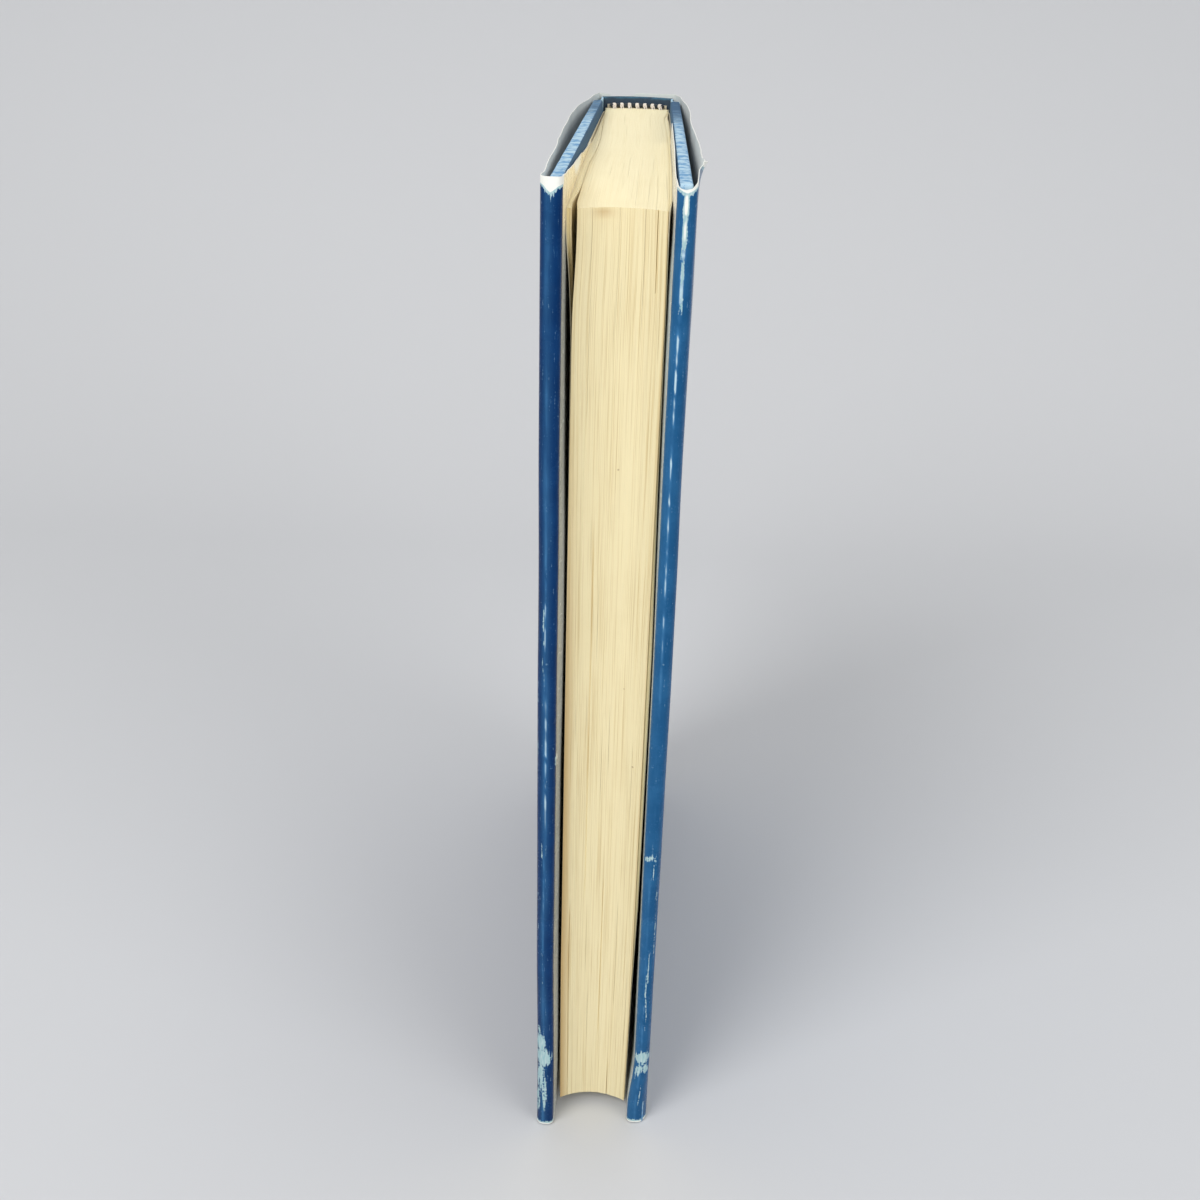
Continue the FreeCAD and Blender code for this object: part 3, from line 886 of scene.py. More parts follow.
@dataclass(frozen=True)
class HiddenStock(Coating):
    """A stock inside the case, seen only when the book is taken apart."""

    colour: Colour
    fleck: Colour
    woven: float = 0.0

    def lay(self, bench: Bench, effects: Effects) -> None:
        """Lay the nodes.

        Args:
            bench: The material's nodes.
            effects: The shared effects.
        """
        place = bench.place()
        if self.woven:
            turned = bench.lay("ShaderNodeSeparateXYZ", {0: place})
            flat = bench.lay("ShaderNodeCombineXYZ", {0: turned.outputs[1],
                                                      1: turned.outputs[2]}).outputs[0]
            grain = bench.effect(effects.weave, vector=flat, pitch=self.woven)
        else:
            grain = bench.effect(effects.fibres, vector=place, soiling=0.5)
        colour = bench.blend(grain.outputs["Tone"], self.colour, self.fleck)
        normal = bench.relief(grain.outputs["Height"], 0.0001, 0.7)
        painted(self.name, colour, 0.88, normal, bench, {"Specular IOR Level": 0.2})


class Finish(Enum):
    """Every finish of the book."""

    # The front flap's bare paper is painted grey: painted shade on a face turned into the gap
    # beside the leaves.
    JACKET_FRONT = JacketPrint("jacket_print_front", srgb(2, 42, 90), srgb(8, 52, 102),
                               bare=srgb(178, 181, 178))
    # The back's ink is lighter than the front's: painted light, for the back band that looks more
    # lit.
    JACKET_BACK = JacketPrint("jacket_print_back", srgb(24, 80, 126), srgb(38, 94, 140), 0.0019,
                              srgb(206, 216, 219), srgb(222, 222, 218))
    JACKET_INSIDE = PlainPaper("jacket_inside", srgb(220, 224, 220), srgb(186, 192, 190), 0.5)
    JACKET_EDGE = PlainPaper("jacket_torn_edge", srgb(232, 232, 224), srgb(206, 204, 194), 0.3)
    CLOTH = BookCloth("book_cloth", srgb(24, 76, 112), srgb(178, 208, 224),
                      srgb(96, 150, 194))
    # The spine's cloth is the boards' cloth painted much darker: painted shade behind the
    # headband.
    SPINE_CLOTH = BookCloth("spine_cloth", srgb(8, 38, 58), srgb(40, 92, 116),
                            srgb(16, 54, 78))
    EDGES = TrimmedLeaves("trimmed_edges", srgb(246, 232, 188), srgb(220, 198, 148),
                          srgb(208, 178, 126), 3.0, 0.45)
    HEAD_EDGES = TrimmedLeaves("trimmed_head", srgb(243, 232, 194), srgb(222, 204, 156),
                               srgb(214, 194, 146), 1.1, 0.12)
    LEAF_FACE = PlainPaper("leaf_face", srgb(240, 226, 186), srgb(214, 192, 144), 0.5, 0.4)
    ENDPAPER = PlainPaper("endpaper", srgb(238, 228, 200), srgb(216, 200, 164), 0.5, 0.4)
    THREAD_LIGHT = Thread("thread_white", srgb(244, 238, 228), srgb(206, 192, 178))
    THREAD_DARK = Thread("thread_dark", srgb(46, 54, 62), srgb(22, 28, 36))
    BOARD = HiddenStock("binders_board", srgb(150, 142, 126), srgb(112, 104, 92))
    GAUZE = HiddenStock("gauze", srgb(218, 212, 196), srgb(176, 168, 150), 0.0012)
    KRAFT = HiddenStock("kraft_paper", srgb(168, 132, 92), srgb(136, 102, 66))
    TAPE = HiddenStock("cotton_tape", srgb(212, 204, 186), srgb(180, 170, 150), 0.0005)


class Paintbox:
    """The finishes as materials, each made when it is first asked for."""

    def __init__(self) -> None:
        """Build the shared effects."""
        self.effects = Effects()
        self.made: dict[Finish, bpy.types.Material] = {}

    def of(self, finish: Finish) -> bpy.types.Material:
        """Return a finish's material."""
        if finish not in self.made:
            self.made[finish] = finish.value.make(self.effects)
        return self.made[finish]

    def these(self, *finishes: Finish) -> list[bpy.types.Material]:
        """Return several finishes' materials."""
        return [self.of(finish) for finish in finishes]


# ---------------------------------------------------------------- the book's frame
class Cover(Enum):
    """The two covers, with the CAD's words for each and the side it lies on."""

    FRONT = ("front", -1)
    BACK = ("back", 1)

    @property
    def word(self) -> str:
        """Return the cover's name."""
        return self.value[0]

    @property
    def side(self) -> int:
        """Return -1 for the front cover and 1 for the back cover."""
        return self.value[1]

    @property
    def body(self) -> str:
        """Return the body that the cover is."""
        return self.word + "_cover"

    def pick(self, front: Any, back: Any) -> Any:
        """Return the first on the front cover and the second on the back cover."""
        return front if self is Cover.FRONT else back


class BookFrame:
    """Places that the pieces share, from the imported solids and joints, in millimetres.

    A cover's places are drawn square, at x > 0, as the back cover's before it is splayed.
    """

    board_width = 133.5
    board = 2.0
    joint_width = 7.0
    cloth = 0.25
    turn_in = 15.0
    leaf = 0.12
    spine_gap = 0.3
    flap_lean = {
        "front": ((0, 0.3), (12, 0.5), (30, 0.6), (97, 0.6), (112, 0.75), (133, 0.82),
                  (150, 0.75), (163, 0.52), (192, 0.25), (216, 0.15)),
        "back": ((0, 0.1), (125, 0.1), (150, 0.38), (180, 0.6), (197, 0.6), (206, 0.35),
                 (216, 0.2))}
    splay = 1.1
    pivot_lift = 0.5
    fold_gap = 0.2
    fold_lift = 0.6
    joint_lift = 0.1
    jacket = 0.15
    shoulder_depth = 2.6
    spine_round = 2.4

    def __init__(self, frame: dict[str, Any]) -> None:
        """Read the places.
        """
        pivots = {joint["child"]: [value / MM for value in joint["pos_m"]]
                  for joint in frame["joints"]}
        self.pivot_x, self.pivot_y = pivots[Cover.BACK.body][:2]
        self.slip = self.pivot_y - pivots[Cover.FRONT.body][1]
        self.case_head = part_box("spine_strip")[1].z / MM + self.cloth
        self.block_low, self.block_high = (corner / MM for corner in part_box("text_block"))
        self.jacket_low, self.jacket_high = (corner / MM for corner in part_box("jacket_spine"))

        self.cloth_outer = self.pivot_x + self.splay - self.pivot_lift
        self.board_inner = self.cloth_outer - self.cloth - self.board
        self.cloth_inner = self.board_inner - self.cloth
        self.paste_face = self.cloth_inner - self.leaf
        self.flap_face = self.paste_face - self.jacket
        self.fold_outer = self.cloth_outer + self.fold_lift + self.jacket
        self.board_joint = self.pivot_y - self.joint_width / 2
        self.cloth_fore = self.board_joint - self.board_width - self.cloth
        self.fold_fore = self.cloth_fore - self.fold_gap - self.jacket
        self.shoulder_y = self.pivot_y + self.joint_width / 2
        self.neck_y = self.shoulder_y - self.shoulder_depth

        self.block_half = 8.05
        half = self.block_high.x
        self.spine_radius = (half ** 2 + self.spine_round ** 2) / (2 * self.spine_round)
        self.spine_axis_y = self.block_high.y - self.spine_radius
        self.jacket_radius = self.jacket_high.y - self.spine_axis_y
        self.cloth_radius = self.jacket_radius - self.jacket - self.spine_gap
        self.splay_angle = math.asin(self.splay / (self.pivot_y - self.cloth_fore))

    def placed(self, points: Grid, cover: Cover) -> Grid:
        """Return a cover's points where the cover stands.

        Args:
            points: Points drawn square at x > 0, x y z last.
            cover: The cover.

        Returns:
            The points splayed, and for the front cover mirrored and slipped forward.
        """
        x = points[..., 0] - self.board_inner
        y = points[..., 1] - self.cloth_fore
        cosine, sine = math.cos(self.splay_angle), math.sin(self.splay_angle)
        across = self.board_inner + x * cosine - y * sine
        along = self.cloth_fore + x * sine + y * cosine
        along = along - cover.pick(self.slip, 0.0)
        return np.stack([across * cover.side, along, points[..., 2]], axis=-1)

    def on_spine(self, radius: Grid | float, turn: Grid | float) -> tuple[Grid, Grid]:
        """Return the x and y at a radius from the spine's axis and a turn from its middle."""
        return radius * np.sin(turn), self.spine_axis_y + radius * np.cos(turn)

    def between_turn_ins(self, y: Grid, z: Grid) -> Grid:
        """Return 1 inside the cloth that is turned in on a board, 0 on it.

        Args:
            y: Places along the board, drawn square.
            z: Heights.

        Returns:
            The shares.
        """
        start, full = self.turn_in - 0.4, self.turn_in + 0.1
        return (smooth(y, self.cloth_fore + start, self.cloth_fore + full)
                * smooth(z, start, full)
                * smooth(z, self.case_head - start, self.case_head - full))

    def pivot(self, cover: Cover) -> tuple[float, float]:
        """Return the x and y of a cover's joint."""
        return self.pivot_x * cover.side, self.pivot_y - cover.pick(self.slip, 0.0)

    def tucked(self, cover: Cover, y: Grid, z: Grid) -> Grid:
        """Return how far a flap leans in from its board, behind the fold.

        Args:
            cover: The cover.
            y: Places along the flap, drawn square.
            z: Heights.

        Returns:
            The lean, in x.
        """
        near = smooth(y, self.fold_fore + 0.8, self.fold_fore + 7) * smooth(
            y, self.fold_fore + 44, self.fold_fore + 14)
        return near * np.interp(z, *zip(*self.flap_lean[cover.word]))

    def joined(self, piece: bpy.types.Object, cover: Cover, root_y: float,
               cover_y: float) -> None:
        """Work out the ends of a piece's bend between the spine's body and a cover's, over a
        stretch of y, the front's listed from the cover to the spine; they are not used, and the
        piece's place is baked into its mesh.
        """
        x, y = self.pivot(cover)
        ends = [("root", (x * MM, (y + root_y) * MM, 0.0)),
                (cover.body, (x * MM, (y + cover_y) * MM, 0.0))]
        if cover is Cover.FRONT:
            ends.reverse()
        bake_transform(piece)


def way_along(line: Grid) -> Grid:
    """Return how far each point of a line lies from its first."""
    steps = np.linalg.norm(np.diff(line, axis=0), axis=1)
    return np.concatenate([[0], np.cumsum(steps)])


def clamped_curve(poles: Grid, steps: int = 240) -> Grid:
    """Return points along a clamped cubic B-spline of evenly spaced knots.

    Args:
        poles: The poles, along the first axis.
        steps: How many points.

    Returns:
        The curve's points, along the first axis.
    """
    count, degree = len(poles), 3
    inner = np.linspace(0, 1, count - degree + 1)
    knots = np.concatenate([np.zeros(degree), inner, np.ones(degree)])
    place = np.linspace(0, 1 - 1e-9, steps)
    basis = [((knots[i] <= place) & (place < knots[i + 1])).astype(float)
             for i in range(len(knots) - 1)]
    for order in range(1, degree + 1):
        raised = []
        for i in range(len(knots) - 1 - order):
            value = np.zeros(steps)
            if knots[i + order] > knots[i]:
                value += (place - knots[i]) / (knots[i + order] - knots[i]) * basis[i]
            if knots[i + order + 1] > knots[i + 1]:
                value += ((knots[i + order + 1] - place)
                          / (knots[i + order + 1] - knots[i + 1]) * basis[i + 1])
            raised.append(value)
        basis = raised
    return np.tensordot(np.stack(basis[:count]), poles, axes=(0, 0))


# ---------------------------------------------------------------- jacket
@dataclass(frozen=True)
class RubAndGlint:
    """A rubbed or chipped place on a fold, or a thin painted highlight streak laid out the same
    way.

    across is the place over the band, positive to the outside; up is its height; both with
    a half size. level is how far the print is gone, 1 being bare paper.
    """

    across: float
    up: float
    half_across: float
    half_up: float
    level: float = 1.0


@dataclass
class DustJacket:
    """The paper jacket: spine panel, two panels sprung off the boards, two folded flaps."""

    frame: BookFrame
    paints: Paintbox
    flap_width: float = 82.0
    outer_radius: float = 1.7
    inner_radius: float = 1.1
    fold_steps: int = 10
    joint_setback: float = 0.15
    off_band: float = 9.0
    bend: tuple[float, float] = (4.2, -3.0)
    crease_deg: float = 32.9
    spring: float = 2.9
    spring_from: float = 0.66
    spring_full: float = 0.93
    spring_at_tail: float = 0.15
    front_line: tuple = ((0.05, 0.10), (0.17, 1.00), (0.47, 0.83), (0.77, 0.47))
    back_line: tuple = ((0.05, 0.10), (0.21, 0.72), (0.48, 0.36), (0.85, 0.74))
    flap_slope: float = 0.055
    back_crush: tuple = ((-9.0, 0.0), (-4.0, 0.4), (-2.0, 0.8), (-1.1, 1.4), (0.0, 1.6),
                         (1.1, 1.4), (2.0, 0.8), (4.0, 0.6), (24.0, 0.3))
    torn_y: float = -51.0
    # Each fold's painted sheen: its middle, half width and strength, and where its highlight
    # streak runs.
    sheen_band: dict = field(default_factory=lambda: {
        "front": (-0.6, 0.7, 0.5, -0.55), "back": (1.2, 1.3, 0.4, -0.1)})
    # Heights and strengths of each fold's thin painted highlight streak.
    streaked: dict = field(default_factory=lambda: {
        "front": ((20, 0.12), (60, 0.25), (84, 0.4), (92, 0.9), (113, 1.0), (119, 0.5),
                  (142, 0.45), (150, 0.2), (185, 0.08)),
        "back": ((8, 0.3), (50, 0.6), (100, 0.35), (130, 0.6), (180, 0.95), (206, 1.05))})
    front_rubs_and_glints: tuple = (
        RubAndGlint(0.57, 134.5, 0.10, 2.2, 0.8), RubAndGlint(0.5, 129.5, 0.09, 1.4, 0.75),
        RubAndGlint(0.57, 124.5, 0.10, 2.4, 0.85), RubAndGlint(0.45, 117.0, 0.08, 2.2, 0.6),
        RubAndGlint(-1.7, 102.5, 0.2, 0.9, 0.8), RubAndGlint(0.6, 80.0, 0.10, 2.0, 0.7),
        RubAndGlint(1.2, 29.8, 0.35, 1.0, 0.75), RubAndGlint(0.9, 26.0, 1.0, 2.6, 1.1),
        RubAndGlint(0.3, 21.5, 1.5, 2.6, 1.1), RubAndGlint(0.9, 15.5, 0.8, 4.5, 0.85),
        RubAndGlint(0.1, 11.0, 0.5, 6.0, 0.75), RubAndGlint(1.4, 8.0, 0.4, 4.5, 0.7),
        # The last four are thin long streaks: partly scratches, partly painted highlight.
        RubAndGlint(0.3, 50.0, 0.07, 6.0, 0.45), RubAndGlint(0.2, 92.0, 0.06, 9.0, 0.42),
        RubAndGlint(1.5, 60.0, 0.08, 14.0, 0.42), RubAndGlint(1.6, 110.0, 0.07, 18.0, 0.42),
    )
    back_rubs_and_glints: tuple = (
        # The four marks down the fold's middle under the head are partly rubbed print and partly a
        # painted highlight streak; so is the last, thin long mark.
        RubAndGlint(-0.1, 212.6, 0.5, 2.6, 1.5), RubAndGlint(-0.1, 208.4, 0.36, 4.0, 1.35),
        RubAndGlint(-0.12, 202.0, 0.26, 3.4, 1.05), RubAndGlint(-0.1, 196.6, 0.2, 3.4, 0.85),
        RubAndGlint(-0.5, 77.9, 1.2, 0.45, 0.8), RubAndGlint(0.4, 74.0, 0.12, 3.0, 0.7),
        RubAndGlint(0.35, 48.0, 0.14, 4.5, 0.95),
        RubAndGlint(0.1, 41.0, 0.14, 4.5, 0.85), RubAndGlint(0.4, 34.0, 0.12, 4.0, 0.8),
        RubAndGlint(0.0, 21.0, 1.7, 1.7, 1.02), RubAndGlint(-0.6, 17.2, 0.9, 1.8, 0.8),
        RubAndGlint(0.9, 17.5, 0.7, 1.6, 0.75), RubAndGlint(0.3, 9.0, 0.2, 4.0, 0.6),
        RubAndGlint(1.3, 60.0, 0.1, 12.0, 0.42),
    )

    def build(self) -> list[bpy.types.Object]:
        """Build the jacket's three pieces."""
        return [self.build_spine(), self.build_cover(Cover.FRONT),
                self.build_cover(Cover.BACK)]

    def heights(self) -> Grid:
        """Return the rows' shares of the jacket's height, closer at head and tail."""
        return spaced([(0.0, 0), (0.02, 10), (0.13, 34), (0.9, 130), (0.985, 34), (1.0, 10)])

    def spring_left(self, share: Grid) -> Grid:
        """Return how much of the spring off the boards is left at shares of the height."""
        rise = smooth(share, self.spring_from, self.spring_full)
        return self.spring_at_tail + (1 - self.spring_at_tail) * rise

    def panel(self, cover: Cover, share: Grid, along: Grid) -> Grid:
        """Return the outer face's x over a panel.

        Args:
            cover: The cover.
            share: The rows' shares of the height.
            along: The columns' y, falling from the joint to the fold.

        Returns:
            x, rows by columns.
        """
        frame = self.frame
        line = cover.pick(self.front_line, self.back_line)
        joint_y = frame.pivot_y - self.joint_setback
        span = joint_y - (frame.fold_fore + self.inner_radius)
        left = self.spring_left(share)
        lifts = [np.full(len(share), frame.joint_lift)]
        places = [0.0]
        for place, height in line:
            flat = frame.joint_lift + (frame.fold_lift - frame.joint_lift) * place
            lifts.append(flat + (self.spring * height - flat) * left)
            places.append(place)
        lifts.append(np.full(len(share), frame.fold_lift))
        places.append(1.0)
        poles = np.stack([np.stack(lifts), np.broadcast_to(
            np.array(places)[:, None], (len(places), len(share)))], axis=-1)
        curve = clamped_curve(poles)
        sought = (joint_y - along) / span
        return np.stack([frame.cloth_outer + frame.jacket
                         + np.interp(sought, curve[:, row, 1], curve[:, row, 0])
                         for row in range(len(share))])

    def fold_line(self) -> Grid:
        """Return the x and y of the outer face round the fold, panel to flap."""
        frame = self.frame
        turn = np.radians(np.linspace(0, 90, self.fold_steps + 1))
        outer = np.stack([frame.fold_outer - self.outer_radius * (1 - np.cos(turn)),
                          frame.fold_fore + self.outer_radius * (1 - np.sin(turn))], axis=-1)
        inner = np.stack([frame.flap_face + self.inner_radius * (1 - np.sin(turn)),
                          frame.fold_fore + self.inner_radius * (1 - np.cos(turn))], axis=-1)
        middle = (outer[-1] + inner[0]) / 2
        return np.concatenate([outer[1:], [middle], inner])

    def outline(self, cover: Cover, share: Grid) -> tuple[Grid, Grid]:
        """Return the drawn x and y of the outer face from joint to flap, and the way along.

        Args:
            cover: The cover.
            share: The rows' shares of the height.

        Returns:
            The line of each row, and one row of the way along it, 0 at the fold.
        """
        frame, torn = self.frame, self.torn_y
        joint_y = frame.pivot_y - self.joint_setback
        along = spaced([(joint_y, 0), (joint_y - 22, 14), (torn + 7, 22), (torn - 7, 26),
                        (frame.fold_fore + self.outer_radius, 14)])
        panel = np.stack([self.panel(cover, share, along),
                          np.broadcast_to(along, (len(share), len(along)))], axis=-1)
        fold = self.fold_line()
        flap_y = spaced([(fold[-1, 1], 0), (fold[-1, 1] + 6, 8),
                         (frame.fold_fore + self.flap_width, 16)])[1:]
        flap = np.stack([np.full(len(flap_y), frame.flap_face), flap_y], axis=-1)
        turned = np.concatenate([fold, flap])
        turned = np.broadcast_to(turned, (len(share), *turned.shape))
        line = np.concatenate([panel, turned], axis=1)
        run = way_along(line[len(share) // 2])[None]
        return line, run - run[:, len(along) + self.fold_steps]

    def build_cover(self, cover: Cover) -> bpy.types.Object:
        """Build one panel with its fold and flap, from the spine's crease on.

        Args:
            cover: The cover.

        Returns:
            The piece.
        """
        frame = self.frame
        share = self.heights()
        middle = len(share) // 2
        line, run = self.outline(cover, share)
        top = self.head_line(cover, line[middle, :, 1], run)
        low = self.foot_line(cover, run)
        height = low + share[:, None] * (top - low)
        across = line[..., 0] - (frame.flap_face + frame.fold_outer) / 2
        square = np.concatenate([line, height[..., None]], axis=-1)
        square = square + self.unevenness(cover, square, run, across)
        points = frame.placed(square, cover)

        # The panel starts at the spine's crease and runs straight to the joint.
        crease, joint = self.crease(cover), points[:, 0]
        lead = np.linspace(0, 1, 9)[:-1]
        flat = crease + lead[:, None] * (joint[:, None, :2] - crease)
        upright = np.repeat(joint[:, None, 2:], len(lead), axis=1)
        points = np.concatenate([np.concatenate([flat, upright], axis=-1), points], axis=1)
        reach = np.linalg.norm(joint[middle, :2] - crease)
        run = np.concatenate([run[:, :1] - reach * (1 - lead), run], axis=1)
        height = np.concatenate([np.repeat(height[:, :1], len(lead), axis=1), height], axis=1)
        far = np.full((len(share), len(lead)), self.off_band)
        across = np.concatenate([far, across], axis=1)
        chart = np.stack([np.broadcast_to(run, height.shape), height], axis=-1) * MM
        wear = self.wear(cover, run, across, height)
        # The painted sheen and highlight streak, carried to the shader in the fade field.
        pale = self.painted_sheen(cover, run, height)
        if cover is Cover.FRONT:
            points, chart, wear, pale = (part[::-1] for part in (points, chart, wear, pale))
        ink = cover.pick(Finish.JACKET_FRONT, Finish.JACKET_BACK)
        materials = self.paints.these(ink, Finish.JACKET_INSIDE, Finish.JACKET_EDGE)
        piece = sheet(cover.word + "_jacket", points, frame.jacket, chart, materials,
                      fields={WEAR_AND_GLINTS: wear, FADE_SHADE_AND_SHEEN: pale})
        frame.joined(piece, cover, *self.bend)
        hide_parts("jacket_" + cover.word)
        return piece

    def crease(self, cover: Cover) -> Grid:
        """Return the x, y of the outer face's crease beside the spine."""
        frame = self.frame
        x, y = frame.on_spine(frame.jacket_radius, math.radians(self.crease_deg))
        return np.array([x * cover.side, y])

    def head_line(self, cover: Cover, y: Grid, run: Grid) -> Grid:
        """Return the jacket's head edge over a cover: handled, torn, its flap cut askew.

        Args:
            cover: The cover.
            y: The y along the sheet.
            run: The way along the sheet, 0 at the fold.

        Returns:
            The head's height along the sheet.
        """
        rough = Unevenness(cover.pick(31, 32))
        top = self.frame.jacket_high.z - 0.12 + 0.1 * rough.at(run / 7, 0) \
            - 0.16 * np.abs(rough.at(run / 1.6, 5))
        on_flap = run > self.inner_radius * 2
        if cover is Cover.FRONT:
            past = np.maximum(y - self.frame.fold_fore, 0)
            top = np.where(on_flap, top - past * self.flap_slope, top)
        else:
            top = top - np.interp(run, *zip(*self.back_crush))
            near = np.exp(-((y - self.torn_y - 1.6) / 0.9) ** 2)
            top = np.where(on_flap, top, top - 0.7 * near)
        return top

    def foot_line(self, cover: Cover, run: Grid) -> Grid:
        """Return the jacket's tail edge along the sheet."""
        rough = Unevenness(cover.pick(41, 42))
        return self.frame.jacket_low.z + 0.1 * np.abs(rough.at(run / 2.0, 0))

    def unevenness(self, cover: Cover, square: Grid, run: Grid, across: Grid) -> Grid:
        """Return how the sheet strays from its drawn line: dents, waves, a flared tail.

        Args:
            cover: The cover.
            square: The drawn points.
            run: The way along the sheet, 0 at the fold.
            across: The place over the band.

        Returns:
            A shift for each point.
        """
        seed = cover.pick(51, 61)
        wave, dent = Unevenness(seed), Unevenness(seed + 1)
        y, z = square[..., 1], square[..., 2]
        from_head = self.frame.jacket_high.z - z
        on_panel = smooth(-run, 3.0, 14.0) * smooth(
            y, self.frame.pivot_y - 3, self.frame.pivot_y - 30)
        on_fold = smooth(np.abs(run), 4.0, 2.0)
        outward = on_panel * (0.09 * wave.at(y / 30, z / 34)
                              + 0.05 * wave.at(y / 9 + 40, z / 14))
        outward += on_panel * 0.22 * np.exp(-from_head / 2.5) * wave.at(y / 8 + 11, 3)
        shift = np.zeros_like(square)
        shift[..., 0] += outward
        dents = 0.05 * dent.at(run / 2.2, z / 7) + 0.03 * dent.at(run / 1.2 + 30, z / 2.6)
        shift[..., 1] -= on_fold * (0.04 + dents) * smooth(np.abs(across), 1.7, 1.0)
        shift[..., 0] += on_fold * 0.12 * dent.at(5, z / 24) * smooth(-run, -6, 2)
        inner_side = smooth(run, -1.5, 1.5) * smooth(
            y, self.frame.fold_fore + 26, self.frame.fold_fore + 2)
        outer_side = smooth(run, 0.8, -1.2) * smooth(run, -8.0, -2.5)
        shift[..., 0] -= (run > 1.4) * self.frame.tucked(cover, y, z)
        crushed = np.exp(-from_head / 1.1) * on_fold
        shift[..., 1] += crushed * (0.12 + 0.14 * dent.at(run / 0.9, 17))
        if cover is Cover.BACK:
            near = smooth(y, self.torn_y - 1.2, self.torn_y) * smooth(
                y, self.torn_y + 6.0, self.torn_y) * (run < -3)
            shift[..., 0] += 0.95 * near * np.exp(-from_head / 1.7)
            shift[..., 0] -= smooth(z, 20.0, 4.0) * (
                1.1 * inner_side + 0.45 * smooth(run, 0.5, -1.0) * on_fold)
            shift[..., 0] += outer_side * 0.22 * smooth(z, 40, 80) * smooth(z, 170, 140)
            curled = smooth(y, -60, -53) * smooth(y, 0, -40) * (run < -3)
            shift[..., 0] += 0.6 * curled * np.exp(-from_head / 2.2)
        else:
            shift[..., 0] += outer_side * 0.35 * smooth(z, 10, 80)
            shift[..., 0] -= inner_side * 0.4 * smooth(z, 60, 5)
        return shift

    def wear(self, cover: Cover, run: Grid, across: Grid, height: Grid) -> Grid:
        """Return how far the print is rubbed away over the sheet, 0 to about 1.3, with thin
        painted highlight streaks among the marks.

        Args:
            cover: The cover.
            run: The way along the sheet, 0 at the fold.
            across: The place over the band.
            height: The height.

        Returns:
            The wear.
        """
        on_band = smooth(np.abs(run), 4.2, 3.0)
        from_head = self.frame.jacket_high.z - height
        from_tail = height - self.frame.jacket_low.z
        wear = np.maximum(1.3 - from_head / 0.5, 0.9 - from_tail / 0.7)
        wear = np.maximum(wear, 0.02 * on_band)
        wear = np.maximum(wear, on_band * (1.9 - from_tail / 0.6))
        if cover is Cover.FRONT:
            notch = np.interp(across, (-1.8, -1.0, 0.0, 0.3, 1.1, 1.8),
                              (1.6, 2.0, 3.1, 2.9, 1.9, 1.5))
            rubs_and_glints = self.front_rubs_and_glints
            frayed = np.exp(-((run - 38.0) / 8.0) ** 2)
            wear = np.maximum(wear, frayed * (3.4 - from_head / 1.6))
        else:
            notch = np.interp(across, (-1.8, -0.9, 0.0, 0.9, 1.75),
                              (1.7, 2.4, 2.8, 2.4, 1.7))
            tooth = np.exp(-((run + 22.5) / 3.4) ** 2)
            wear = np.maximum(wear, tooth * (2.6 - from_head / 0.8))
            rubs_and_glints = self.back_rubs_and_glints
        wear = np.maximum(wear, on_band * (4.2 - 3.3 * from_head / notch))
        for rub_and_glint in rubs_and_glints:
            far = np.hypot((across - rub_and_glint.across) / rub_and_glint.half_across,
                           (height - rub_and_glint.up) / rub_and_glint.half_up)
            wear = np.maximum(wear, on_band * rub_and_glint.level * smooth(far, 1.5, 0.45))
        return wear

    def painted_sheen(self, cover: Cover, run: Grid, height: Grid) -> Grid:
        """Return the painted sheen along the fold: a soft highlight and a thin broken highlight
        streak.

        Args:
            cover: The cover.
            run: The way along the sheet, 0 at the fold.
            height: The height.

        Returns:
            The painted sheen, 0 to 1.
        """
        middle, half, most, line = self.sheen_band[cover.word]
        drift = Unevenness(cover.pick(47, 48))
        place = (run - middle - 0.25 * drift.at(3, height / 14)) / half
        broken = 0.75 + 0.35 * drift.at(run / 3, height / 9)
        soft = most * np.clip(broken, 0, 1) * np.exp(-place ** 2)
        thin = np.interp(height, (60, 185, 200, 214), (0.1, 0.19, 0.3, 0.36))
        sway = line + 0.12 * drift.at(7, height / 22)
        patches = np.clip(0.72 + 0.7 * drift.at(13, height / 3.2)
                          + 0.5 * drift.at(17, height / 0.9), 0, 1.15)
        reach = np.interp(height, *zip(*self.streaked[cover.word]))
        return soft + 1.7 * reach * patches * np.exp(-((run - sway) / thin) ** 2)

    def build_spine(self) -> bpy.types.Object:
        """Build the spine panel, crease to crease."""
        frame = self.frame
        turn = np.radians(np.linspace(-self.crease_deg, self.crease_deg, 41))[None]
        share = self.heights()
        rough, wave = Unevenness(71), Unevenness(72)
        run = frame.jacket_radius * turn
        top = frame.jacket_high.z - 0.1 + 0.1 * rough.at(run / 4, 0) \
            - 0.2 * np.abs(rough.at(run / 1.1, 7)) \
            - 0.75 * smooth(run, 0.5, -2.5) * smooth(run, -9.0, -6.5)
        low = frame.jacket_low.z + 0.1 * np.abs(rough.at(run / 2, 9))
        height = low + share[:, None] * (top - low)
        inside = smooth(np.abs(turn), math.radians(self.crease_deg), 0.35)
        lift = inside * 0.05 * wave.at(run / 5, height / 30)
        from_head = frame.jacket_high.z - height
        lift -= inside * 0.25 * np.exp(-from_head / 1.0) * np.abs(wave.at(run / 2, 4))
        reach = frame.jacket_radius + lift - 0.06 * inside
        points = np.stack([*frame.on_spine(reach, turn), height], axis=-1)
        chart = np.stack([np.broadcast_to(run - 200, height.shape), height], axis=-1) * MM
        from_tail = height - frame.jacket_low.z
        wear = np.maximum(1.2 - from_head / 0.9, 0.9 - from_tail / 0.8)
        wear = np.maximum(wear, 0.3 * smooth(np.abs(turn), 0.5, 0.57)
                          + 0 * height)
        materials = self.paints.these(Finish.JACKET_FRONT, Finish.JACKET_INSIDE,
                                      Finish.JACKET_EDGE)
